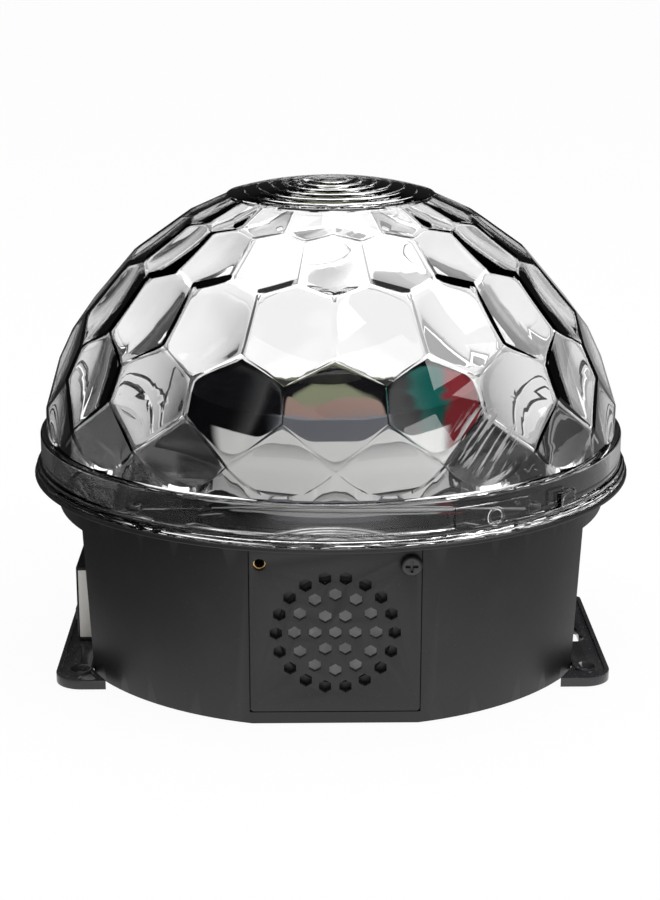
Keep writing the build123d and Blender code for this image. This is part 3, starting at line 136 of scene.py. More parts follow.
def make_group(name: str, inputs: dict[str, object], outputs: tuple[str, ...]) -> Tree:
    """Makes an empty shader group, whose sockets are numbers unless KINDS names another kind.

    Args:
        name: Name of the group.
        inputs: Defaults by socket name.
        outputs: Socket names.

    Returns:
        The group with its input and output nodes.
    """
    group = bpy.data.node_groups.new(name, "ShaderNodeTree")
    for way, labels in (("INPUT", inputs), ("OUTPUT", outputs)):
        for label in labels:
            socket = group.interface.new_socket(label, in_out=way, socket_type=KINDS.get(label, FLOAT))
            if way == "INPUT":
                socket.default_value = inputs[label]
    add_node(group, "NodeGroupInput", name="In")
    add_node(group, "NodeGroupOutput", name="Out")
    return group


def math_node(operation: str, first: object, second: object = 0.0) -> Socket:
    """Result of a Math node, with each operand a socket or a number, in the tree of its operands."""
    tree = next(part.id_data for part in (first, second) if isinstance(part, Socket))
    return add_node(tree, "ShaderNodeMath", {0: first, 1: second}, operation=operation).outputs[0]


def times(first: object, second: object) -> Socket:
    """Product of two sockets or numbers."""
    return math_node("MULTIPLY", first, second)


def larger(first: object, second: object) -> Socket:
    """Larger of two sockets or numbers."""
    return math_node("MAXIMUM", first, second)


def less(first: object, second: object) -> Socket:
    """Difference of two sockets or numbers."""
    return math_node("SUBTRACT", first, second)


def plus(first: object, second: object) -> Socket:
    """Sum of two sockets or numbers."""
    return math_node("ADD", first, second)


def ramp(value: Socket, low: float, high: float, to_low: float = 0.0, to_high: float = 1.0) -> Socket:
    """Smooth step of a value, from to_low at the low limit to to_high at the high one."""
    feeds = {"Value": value, "From Min": low, "From Max": high, "To Min": to_low, "To Max": to_high}
    node = add_node(value.id_data, "ShaderNodeMapRange", feeds, interpolation_type="SMOOTHSTEP")
    return node.outputs["Result"]


def band(value: Socket, rise: Pair, fall: Pair) -> Socket:
    """1 between a smooth rise and a smooth fall of a value, and 0 outside them."""
    return times(ramp(value, *rise), ramp(value, *fall, 1.0, 0.0))


def rgba(colour: object) -> object:
    """Colour with its alpha, or a socket as it is."""
    return colour if isinstance(colour, Socket) else (*colour, 1)


def mix_colours(mask: Socket, under: object, over: object) -> Socket:
    """Lays one colour over another by a mask, each of them a socket or a value."""
    feeds = {"Factor": mask, "A": rgba(under), "B": rgba(over)}
    return add_node(mask.id_data, "ShaderNodeMix", feeds, data_type="RGBA").outputs["Result"]


def coordinates(tree: Tree, source: str = "Object") -> Socket:
    """One of the texture coordinates."""
    return add_node(tree, "ShaderNodeTexCoord").outputs[source]


def object_axes(tree: Tree, source: str = "Object") -> tuple[Socket, Socket, Socket]:
    """X, Y and Z of one of the texture coordinates."""
    return tuple(add_node(tree, "ShaderNodeSeparateXYZ", {"Vector": coordinates(tree, source)}).outputs)


def object_noise(tree: Tree, scale: object, detail: float) -> Socket:
    """Noise on the object's own coordinates, with a number of octaves."""
    feeds = {"Vector": coordinates(tree), "Scale": scale, "Detail": detail}
    return add_node(tree, "ShaderNodeTexNoise", feeds).outputs["Fac"]


class EffectGroups:
    """Shader groups that several finishes share. Noise has a scale and a number of octaves."""

    CLOUD: Pair = (28.0, 4.0)
    FINE_OCTAVES = 2.0
    GRAIN_DEPTH = 0.05 * MM
    CLOUD_ROUGHNESS = 0.6
    FINE_ROUGHNESS = 0.28
    DUST_COLOUR: Colour = (0.45, 0.44, 0.42)
    DUST_ROUGHNESS = 0.5
    SPECKS: Pair = (1500.0, 1.0)
    SPECK_EDGE: Pair = (0.68, 0.74)
    FILM: Pair = (60.0, 5.0)
    FILM_EDGE: Pair = (0.45, 0.8)
    FILM_MOST = 0.35
    FACING_UP = (-0.2, 0.9, 0.25, 1.0)
    SCRATCH_STRETCH: Point = (1.0, 1.0, 1 / 16)
    PATCHES: Pair = (22.0, 2.0)
    PATCH_EDGE: Pair = (0.5, 0.68)
    SCRATCH_LEAST: Pair = (0.66, 0.54)
    SCRATCH_EDGE = 0.04

    def __init__(self) -> None:
        """Builds each group once."""
        self.grain = self.build_grain()
        self.dust = self.build_dust()
        self.scratches = self.build_scratches()

    def build_grain(self) -> Tree:
        """Moulded or ground surface: colour drift, uneven roughness and fine relief.

        Returns:
            The group.
        """
        inputs = {"Colour": GREY, "Roughness": 0.4, "Scale": 900.0, "Relief": 0.1, "Drift": 0.15}
        group = make_group("surface_grain", inputs, ("Colour", "Roughness", "Normal"))
        given = group.nodes["In"].outputs
        fine = object_noise(group, given["Scale"], self.FINE_OCTAVES)
        spread = times(less(object_noise(group, *self.CLOUD), 0.5), given["Drift"])
        feeds = {"Value": plus(spread, 1.0), "Color": given["Colour"]}
        drifted = add_node(group, "ShaderNodeHueSaturation", feeds).outputs["Color"]
        rough = plus(given["Roughness"], times(spread, self.CLOUD_ROUGHNESS))
        ripple = times(less(fine, 0.5), given["Roughness"])
        mottled = plus(rough, times(ripple, self.FINE_ROUGHNESS))
        feeds = {"Distance": self.GRAIN_DEPTH, "Strength": given["Relief"], "Height": fine}
        normal = add_node(group, "ShaderNodeBump", feeds).outputs["Normal"]
        feed(group.nodes["Out"], {"Colour": drifted, "Roughness": mottled, "Normal": normal})
        return group

    def build_dust(self) -> Tree:
        """Pale specks and a thin film that settle on faces that look up.

        Returns:
            The group.
        """
        inputs = {"Colour": GREY, "Roughness": 0.4, "Amount": 0.2}
        group = make_group("settled_dust", inputs, ("Colour", "Roughness"))
        given = group.nodes["In"].outputs
        up = ramp(object_axes(group, "Normal")[2], *self.FACING_UP)
        specks = ramp(object_noise(group, *self.SPECKS), *self.SPECK_EDGE)
        film = ramp(object_noise(group, *self.FILM), *self.FILM_EDGE, 0.0, self.FILM_MOST)
        mask = times(times(larger(specks, film), up), given["Amount"])
        dusty = mix_colours(mask, given["Colour"], self.DUST_COLOUR)
        rough = plus(given["Roughness"], times(mask, self.DUST_ROUGHNESS))
        feed(group.nodes["Out"], {"Colour": dusty, "Roughness": rough})
        return group

    def build_scratches(self) -> Tree:
        """Thin scuffs that run mostly one way, in patches.

        Returns:
            The group.
        """
        inputs = {"Amount": 0.5, "Scale": 40.0, "Turn": (0.0, 0.6, 0.0), "Cover": 0.0}
        group = make_group("handling_scratches", inputs, ("Mask",))
        given = group.nodes["In"].outputs
        feeds = {"Vector": coordinates(group), "Rotation": given["Turn"], "Scale": self.SCRATCH_STRETCH}
        mapping = add_node(group, "ShaderNodeMapping", feeds, vector_type="TEXTURE")
        feeds = {"Vector": mapping.outputs["Vector"], "Scale": given["Scale"], "Detail": self.FINE_OCTAVES}
        streaks = add_node(group, "ShaderNodeTexNoise", feeds).outputs["Fac"]
        patches = larger(ramp(object_noise(group, *self.PATCHES), *self.PATCH_EDGE), given["Cover"])
        least = ramp(given["Cover"], 0.0, 1.0, *self.SCRATCH_LEAST)
        lines = ramp(less(streaks, least), 0.0, self.SCRATCH_EDGE)
        feed(group.nodes["Out"], {"Mask": times(times(lines, patches), given["Amount"])})
        return group


def place_group(tree: Tree, group: Tree, **feeds: object) -> Node:
    """Places a shader group with its own values or linked sockets, by socket name."""
    return add_node(tree, "ShaderNodeGroup", feeds, node_tree=group)


def wire_surface(surface: Node, shader: Node) -> None:
    """Links the colour, roughness and normal that a group puts out to a shader."""
    targets = {"Colour": "Base Color"}
    feed(shader, {targets.get(socket.name, socket.name): socket for socket in surface.outputs})


# Finishes


@dataclass(frozen=True)
class Finish:
    """Look of one material."""

    name: str

    def material(self, groups: EffectGroups) -> Material:
        """Builds the material.

        Args:
            groups: Shared shader groups.

        Returns:
            The material.
        """
        made = bpy.data.materials.new(self.name)
        made.use_nodes = True
        self.wire(made.node_tree, made.node_tree.nodes["Principled BSDF"], groups)
        return made

    def wire(self, tree: Tree, shader: Node, groups: EffectGroups) -> None:
        """Sets the shader of a new material; each kind of finish does this its own way."""
        raise NotImplementedError


@dataclass(frozen=True)
class PlasticFinish(Finish):
    """Moulded plastic: black housing, gloss deck, grey drum and the small coloured parts."""

    colour: Colour
    sheen: Sheen = Sheen.SATIN
    scale: float = 900.0
    relief: float = 0.12
    drift: float = 0.18
    dust: float = 0.15
    ior: float = 1.5

    def wire(self, tree: Tree, shader: Node, groups: EffectGroups) -> None:
        """Moulded grain, a coat by the sheen, and dust on top."""
        roughness, coat, coat_roughness = self.sheen.value
        feed(shader, {"Coat Weight": coat, "Coat Roughness": coat_roughness, "IOR": self.ior})
        grain = place_group(tree, groups.grain, Colour=rgba(self.colour), Roughness=roughness,
                            Scale=self.scale, Relief=self.relief, Drift=self.drift)
        dust = place_group(tree, groups.dust, Amount=self.dust, Colour=grain.outputs["Colour"],
                           Roughness=grain.outputs["Roughness"])
        wire_surface(grain, shader)
        wire_surface(dust, shader)


@dataclass(frozen=True)
class MetalFinish(Finish):
    """Plain or plated metal with fine tool marks."""

    colour: Colour
    roughness: float = 0.3
    scale: float = 1200.0
    relief: float = 0.1
    metallic: float = 1.0

    def wire(self, tree: Tree, shader: Node, groups: EffectGroups) -> None:
        """Tool marks on bare metal."""
        feed(shader, {"Metallic": self.metallic})
        grain = place_group(tree, groups.grain, Colour=rgba(self.colour), Roughness=self.roughness,
                            Scale=self.scale, Relief=self.relief, Drift=0.2)
        wire_surface(grain, shader)


@dataclass(frozen=True)
class TintAndPaintedLightFinish(Finish):
    """Smoke-dark gloss plastic of the lens wheel, with painted sheen in soft rings about its axis, tinted
    sectors, and a pale strip of painted light below the rim.
    """

    smoke: Colour = (0.004, 0.004, 0.005)
    # inner, middle and outer are colours of painted sheen, shown near the front and on the far side.
    inner: Colour = (0.15, 0.16, 0.105)
    middle: Colour = (0.21, 0.145, 0.125)
    outer: Colour = (0.145, 0.15, 0.165)
    red: Colour = (0.16, 0.02, 0.025)
    teal: Colour = (0.006, 0.07, 0.06)
    # Painted light: a pale strip on the front below the rim, which the deck mirrors as a bright band.
    painted_light_hem: Colour = (0.68, 0.68, 0.67)
    painted_light_hem_top: float = 81.3
    painted_light_hem_bearing: Pair = (48.0, 54.0)
    painted_sheen_reaches: tuple[Pair, Pair] = ((20.0, 30.0), (33.0, 41.0))
    painted_sheen_front_bearing: Pair = (22.0, 32.0)
    painted_sheen_far_bearing: Pair = (138.0, 150.0)
    right_bearings: tuple[Pair, Pair] = ((36.0, 42.0), (100.0, 110.0))
    teal_from: Pair = (28.0, 30.5)
    red_from: Pair = (34.5, 36.5)
    cloud: Pair = (90.0, 2.0)
    cloud_reach: float = 14.0
    cloud_across: float = 0.4
    painted_light_hem_edge: float = 0.4
    roughness: float = 0.3
    ior: float = 1.5

    def wire(self, tree: Tree, shader: Node, groups: EffectGroups) -> None:
        """Rings of painted sheen and sectors of tint about the axis, and a pale strip of painted light
        below the rim at the front.
        """
        feed(shader, {"IOR": self.ior, "Specular IOR Level": 0.0})
        right_way, back_way, height = object_axes(tree)
        bearing = math_node("ARCTAN2", right_way, times(back_way, -1.0))
        bearing = times(bearing, math.degrees(1.0))
        turned = math_node("ABSOLUTE", bearing)
        squares = plus(times(right_way, right_way), times(back_way, back_way))
        cloud = times(less(object_noise(tree, *self.cloud), 0.5), self.cloud_reach)
        reach = plus(math_node("DIVIDE", math_node("SQRT", squares), MM), cloud)
        # Painted sheen: soft rings of colour near the front and on the far side, plain smoke elsewhere.
        painted_sheen_bands = mix_colours(ramp(reach, *self.painted_sheen_reaches[0]), self.inner, self.middle)
        painted_sheen_bands = mix_colours(ramp(reach, *self.painted_sheen_reaches[1]), painted_sheen_bands, self.outer)
        front = ramp(turned, *self.painted_sheen_front_bearing, 1.0, 0.0)
        colour = mix_colours(front, self.smoke, painted_sheen_bands)
        colour = mix_colours(ramp(turned, *self.painted_sheen_far_bearing), colour, self.inner)
        across = plus(math_node("DIVIDE", right_way, MM), times(cloud, self.cloud_across))
        sector = times(band(bearing, *self.right_bearings), ramp(across, *self.teal_from))
        pair = mix_colours(ramp(across, *self.red_from), self.teal, self.red)
        colour = mix_colours(sector, colour, pair)
        # Painted light: a pale strip below the rim, only towards the front.
        low = ramp(math_node("DIVIDE", height, MM), self.painted_light_hem_top - self.painted_light_hem_edge, self.painted_light_hem_top, 1.0, 0.0)
        painted_light_hem = times(low, ramp(turned, *self.painted_light_hem_bearing, 1.0, 0.0))
        grain = place_group(tree, groups.grain, Colour=mix_colours(painted_light_hem, colour, self.painted_light_hem),
                            Roughness=self.roughness, Scale=600.0, Relief=0.03, Drift=0.1)
        wire_surface(grain, shader)


@dataclass(frozen=True)
class ClearFinish(Finish):
    """Clear acrylic with a few scuffs and slight moulding waves."""

    colour: Colour = (1.0, 1.0, 1.0)
    scuffs: float = 0.25
    waves: float = 0.0
    ior: float = 1.49
    worn_place: Point = (45.0, -80.0, 88.0)
    worn_reach: float = 13.0
    worn_turn: Point = (0.0, -0.9, 0.0)
    haze: Pair = (45.0, 3.0)
    haze_tint: float = 0.99
    wave_depth: float = 0.2
    scuff_roughness: float = 0.5

    def wire(self, tree: Tree, shader: Node, groups: EffectGroups) -> None:
        """Clear shell with scuffs as roughness, and one worn patch."""
        scratches = place_group(tree, groups.scratches, Amount=self.scuffs, Scale=55.0)
        haze = object_noise(tree, *self.haze)
        tint = mix_colours(haze, self.colour, tuple(self.haze_tint * part for part in self.colour))
        place = tuple(part * MM for part in self.worn_place)
        gap = add_node(tree, "ShaderNodeVectorMath", {0: coordinates(tree), 1: place}, operation="DISTANCE")
        reach = self.worn_reach * MM
        near = ramp(gap.outputs["Value"], 0.5 * reach, reach, 1.0, 0.0)
        rubbed = place_group(tree, groups.scratches, Amount=1.0, Scale=60.0, Cover=1.0, Turn=self.worn_turn)
        marks = times(near, rubbed.outputs["Mask"])
        feeds = {"Distance": self.wave_depth * MM, "Strength": self.waves, "Height": haze}
        feed(shader, {
            "Transmission Weight": 1.0, "Metallic": 0.0, "IOR": self.ior, "Base Color": tint,
            "Roughness": larger(times(scratches.outputs["Mask"], self.scuff_roughness), marks),
            "Normal": add_node(tree, "ShaderNodeBump", feeds).outputs["Normal"],
        })


# Per slot: name, colour, sheen, scale, relief, drift, dust and, for the deck, the index of refraction.
PLASTICS: dict[str, tuple] = {
    "black_housing": ("satin_black_housing", (0.012, 0.012, 0.0135), Sheen.SATIN, 1100.0, 0.25, 0.2, 0.1),
    "black_panel": ("grained_black_panel", (0.016, 0.016, 0.0175), Sheen.GRAINED, 1400.0, 0.35, 0.2, 0.1),
    "gloss_deck": ("gloss_black_deck", (0.006, 0.006, 0.007), Sheen.MIRROR, 300.0, 0.0, 0.05, 0.01, 2.6),
    "mount_black": ("gloss_black_mount", (0.03, 0.03, 0.033), Sheen.GLOSS, 500.0, 0.15, 0.3, 0.25),
    "pale_plastic": ("ivory_end_cover", (0.78, 0.76, 0.72), Sheen.SATIN, 900.0, 0.1, 0.08, 0.1),
    "grey_plastic": ("light_grey_drum", (0.74, 0.74, 0.73), Sheen.SATIN, 900.0, 0.05, 0.08, 0.05),
    "black_part": ("black_small_part", (0.022, 0.022, 0.022), Sheen.SATIN, 1200.0, 0.15, 0.2, 0.05),
    "rubber_black": ("black_rubber", (0.025, 0.025, 0.025), Sheen.MATT, 1500.0, 0.3, 0.2, 0.3),
    "cone_paper": ("pressed_paper_cone", (0.88, 0.88, 0.87), Sheen.GLOSS, 2500.0, 0.2, 0.3, 0.1),
    "ferrite": ("ground_ferrite", (0.05, 0.05, 0.05), Sheen.SATIN, 1800.0, 0.3, 0.2, 0.1),
    "board_green": ("green_board", (0.02, 0.16, 0.07), Sheen.GLOSS, 700.0, 0.1, 0.15, 0.1),
    "board_white": ("white_board", (0.8, 0.8, 0.78), Sheen.GLOSS, 700.0, 0.1, 0.1, 0.1),
    "tape_yellow": ("yellow_tape", (0.8, 0.62, 0.08), Sheen.GLOSS, 500.0, 0.2, 0.1, 0.1),
    "cap_sleeve": ("blue_black_sleeve", (0.03, 0.04, 0.09), Sheen.GLOSS, 500.0, 0.05, 0.1, 0.05),
    "connector_white": ("nylon_connector", (0.82, 0.8, 0.74), Sheen.SATIN, 900.0, 0.1, 0.1, 0.1),
}
LAMPS: dict[str, Colour] = {
    "red": (0.55, 0.03, 0.03), "green": (0.04, 0.42, 0.1), "blue": (0.03, 0.1, 0.55),
    "white": (0.8, 0.8, 0.6), "amber": (0.7, 0.34, 0.04), "violet": (0.3, 0.08, 0.55),
}
FINISHES: dict[str, Finish] = {
    "crystal": ClearFinish("clear_lens_acrylic"),
    "clear_lens": ClearFinish("clear_small_lens", (0.97, 0.98, 0.985), 0.1, 0.02),
    # This finish carries painted sheen and a pale strip of painted light besides its tint.
    "wheel_tint": TintAndPaintedLightFinish("smoke_wheel_tint_and_painted_light"),
    "black_screw": MetalFinish("black_oxide_screw", (0.07, 0.07, 0.072), 0.35, 1500.0, 0.2, 0.9),
    "steel": MetalFinish("zinc_steel", (0.36, 0.36, 0.37), 0.4),
    "socket_metal": MetalFinish("plated_socket", (0.78, 0.79, 0.8), 0.18),
    "brass_metal": MetalFinish("turned_brass", (0.78, 0.52, 0.2), 0.25),
    "alu": MetalFinish("plain_aluminium", (0.75, 0.75, 0.76), 0.35),
}
FINISHES |= {slot: PlasticFinish(*row) for slot, row in PLASTICS.items()}
FINISHES |= {
    f"lamp_{light}": PlasticFinish(f"{light}_emitter", colour, Sheen.GLOSS, 900.0, 0.05, 0.1, 0.0)
    for light, colour in LAMPS.items()
}


class FinishShelf:
    """All materials by the record's slot name."""

    def __init__(self) -> None:
        """Builds every finish once."""
        self.groups = EffectGroups()
        self.made = {slot: finish.material(self.groups) for slot, finish in FINISHES.items()}

    def dress_frame(self) -> None:
        """Gives each CAD node the material of its slot."""
        for row in frame["record"]["subparts"]:
            mesh = frame["nodes"][row["node"]].data
            mesh.materials.clear()
            mesh.materials.append(self.made[row["material_slot"]])

    def slot_of(self, node: str) -> str:
        """Material slot of a node."""
        rows = frame["record"]["subparts"]
        return next(row["material_slot"] for row in rows if row["node"] == node)


# Meshes


def linked(thing: Piece) -> Piece:
    """Links a new object to the scene and gives it back."""
    bpy.context.scene.collection.objects.link(thing)
    return thing


def mesh_object(name: str, points: list[Vector], faces: list[tuple[int, ...]]) -> Piece:
    """Makes an object from points in metres and faces.

    Args:
        name: Name of the piece.
        points: Corner points.
        faces: Corner numbers of each face.

    Returns:
        The linked object.
    """
    mesh = bpy.data.meshes.new(name)
    mesh.from_pydata([tuple(point) for point in points], [], faces)
    mesh.validate()
    return linked(bpy.data.objects.new(name, mesh))


@contextmanager
def opened(*sources: bpy.types.Mesh, into: bpy.types.Mesh) -> Iterator[bmesh.types.BMesh]:
    """Joins meshes for editing and writes the result into a mesh.

    Args:
        sources: Meshes to join.
        into: Mesh that gets the result.

    Yields:
        The editable mesh.
    """
    work = bmesh.new()
    for source in sources:
        work.from_mesh(source)
    yield work
    work.to_mesh(into)
    work.free()


def merge_and_orient(piece: Piece, distance: float = MERGE) -> None:
    """Merges doubles within a distance in metres and turns the faces outwards."""
    with opened(piece.data, into=piece.data) as work:
        bmesh.ops.remove_doubles(work, verts=work.verts, dist=distance)
        bmesh.ops.recalc_face_normals(work, faces=work.faces)


def shade(piece: Piece, degrees: float) -> None:
    """Smooths the shading except across edges sharper than an angle."""
    piece.data.shade_smooth()
    piece.data.set_sharp_from_angle(angle=math.radians(degrees))


def round_walls(piece: Piece) -> None:
    """Gives the walls that are round about the Z axis, upright or drafted, their true normals.

    Args:
        piece: Smooth-shaded object.
    """
    mesh = piece.data
    normals = [(0.0, 0.0, 0.0)] * len(mesh.loops)
    for face in mesh.polygons:
        flat = math.hypot(face.normal.x, face.normal.y)
        if flat < UPRIGHT:
            continue
        slope = face.normal.z / flat
        places = [mesh.vertices[index].co for index in face.vertices]
        sign = 1.0 if face.normal.x * places[0].x + face.normal.y * places[0].y > 0 else -1.0
        reaches = [math.hypot(place.x, place.y) + sign * slope * place.z for place in places]
        if max(reaches) - min(reaches) > WALL_SPREAD * MM or min(reaches) < LEAST_WALL_RADIUS * MM:
            continue
        for loop in face.loop_indices:
            place = mesh.vertices[mesh.loops[loop].vertex_index].co
            way = Vector((sign * place.x, sign * place.y, 0.0)).normalized() + Vector((0.0, 0.0, slope))
            normals[loop] = tuple(way.normalized())
    mesh.normals_split_custom_set(normals)


def bake_modifiers(piece: Piece) -> None:
    """Turns the evaluated result into the object's plain mesh.

    Args:
        piece: Object whose modifiers are applied and removed.
    """
    graph = bpy.context.evaluated_depsgraph_get()
    graph.update()
    result = bpy.data.meshes.new_from_object(piece.evaluated_get(graph), depsgraph=graph)
    piece.modifiers.clear()
    piece.data = result


def hand_over(piece: Piece, body: Body, node: str, shelf: FinishShelf) -> None:
    """Gives a finished piece the material of its node's slot and its body, and hides the node it stands
    for.

    Args:
        piece: Finished object.
        body: Body it rides on.
        node: CAD node that it replaces.
        shelf: Materials by slot.
    """
    slot = shelf.slot_of(node)
    piece.data.materials.clear()
    piece.data.materials.append(shelf.made[slot])
    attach(piece, body.value)
    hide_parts(node)
    LOG.info("%s: %d faces on %s", piece.name, len(piece.data.polygons), body.value)


def eased_copy(node: str, width: float) -> Piece:
    """Copy of a CAD node with merged faces and slightly rounded edges.

    Args:
        node: CAD node to copy.
        width: Width of the rounded edges in millimetres, or 0 for smooth shading only.

    Returns:
        The copy.
    """
    name = f"{node}_eased"
    mesh = bpy.data.meshes.new(name)
    with opened(frame["nodes"][node].data, into=mesh) as work:
        bmesh.ops.remove_doubles(work, verts=work.verts, dist=MERGE)
        bmesh.ops.dissolve_limit(work, angle_limit=FLAT_ANGLE, verts=work.verts, edges=work.edges)
    piece = linked(bpy.data.objects.new(name, mesh))
    if width:
        bevel = piece.modifiers.new("eased_edges", "BEVEL")
        bevel.width, bevel.segments = width * MM, EDGE_SEGMENTS
        bevel.limit_method, bevel.angle_limit = "ANGLE", math.radians(EDGE_DEGREES)
        bevel.use_clamp_overlap = True
        bake_modifiers(piece)
    shade(piece, EDGE_DEGREES)
    round_walls(piece)
    return piece


# Geometry Nodes trees


class RingTree:
    """Geometry Nodes tree that repeats a part round the Z axis and joins the copies."""

    def __init__(self) -> None:
        """Builds the tree once."""
        tree = bpy.data.node_groups.new("repeat_round_axis", "GeometryNodeTree")
        face = tree.interface
        face.new_socket("Geometry", in_out="OUTPUT", socket_type="NodeSocketGeometry")
        kinds = {"Part": "NodeSocketObject", "Count": "NodeSocketInt", "Merge": FLOAT,
                 "Finish": "NodeSocketMaterial"}
        self.sockets = {
            label: face.new_socket(label, in_out="INPUT", socket_type=kind).identifier
            for label, kind in kinds.items()
        }
        self.tree = tree

        def geometry(kind: str, feeds: dict) -> Socket:
            """Adds a node and gives its first output."""
            return add_node(tree, kind, feeds).outputs[0]

        given = add_node(tree, "NodeGroupInput").outputs
        step = math_node("DIVIDE", 2 * math.pi, given["Count"])
        turn = times(geometry("GeometryNodeInputIndex", {}), step)
        spin = geometry("FunctionNodeEulerToRotation", {0: geometry("ShaderNodeCombineXYZ", {"Z": turn})})
        points = geometry("GeometryNodePoints", {"Count": given["Count"]})
        part = add_node(tree, "GeometryNodeObjectInfo", {"Object": given["Part"]}).outputs["Geometry"]
        feeds = {"Points": points, "Instance": part, "Rotation": spin}
        copies = geometry("GeometryNodeInstanceOnPoints", feeds)
        real = geometry("GeometryNodeRealizeInstances", {"Geometry": copies})
        merged = geometry("GeometryNodeMergeByDistance", {"Geometry": real, "Distance": given["Merge"]})
        finish = geometry("GeometryNodeSetMaterial", {"Geometry": merged, "Material": given["Finish"]})
        add_node(tree, "NodeGroupOutput", {0: finish})

    def repeat(self, part: Piece, name: str, finish: Material, count: int, merge: float) -> Piece:
        """Makes one mesh of a part repeated round the axis, and removes the single part.

        Args:
            part: Object to repeat.
            name: Name of the result.
            finish: Material of the result.
            count: Number of copies.
            merge: Merge distance, in metres.

        Returns:
            The joined mesh object.
        """
        made = mesh_object(name, [], [])
        modifier = made.modifiers.new("repeat", "NODES")
        modifier.node_group = self.tree
        for label, value in {"Part": part, "Count": count, "Merge": merge, "Finish": finish}.items():
            modifier[self.sockets[label]] = value
        bake_modifiers(made)
        bpy.data.objects.remove(part)
        return made


# The dome


def bearing_of(place: Vector) -> float:
    """Bearing of a point, in degrees from the front towards the right."""
    return math.degrees(math.atan2(place.x, -place.y)) % 360.0


def outwards(place: Vector) -> Vector:
    """Unit direction from the axis to a point."""
    return Vector((place.x, place.y, 0.0)).normalized()


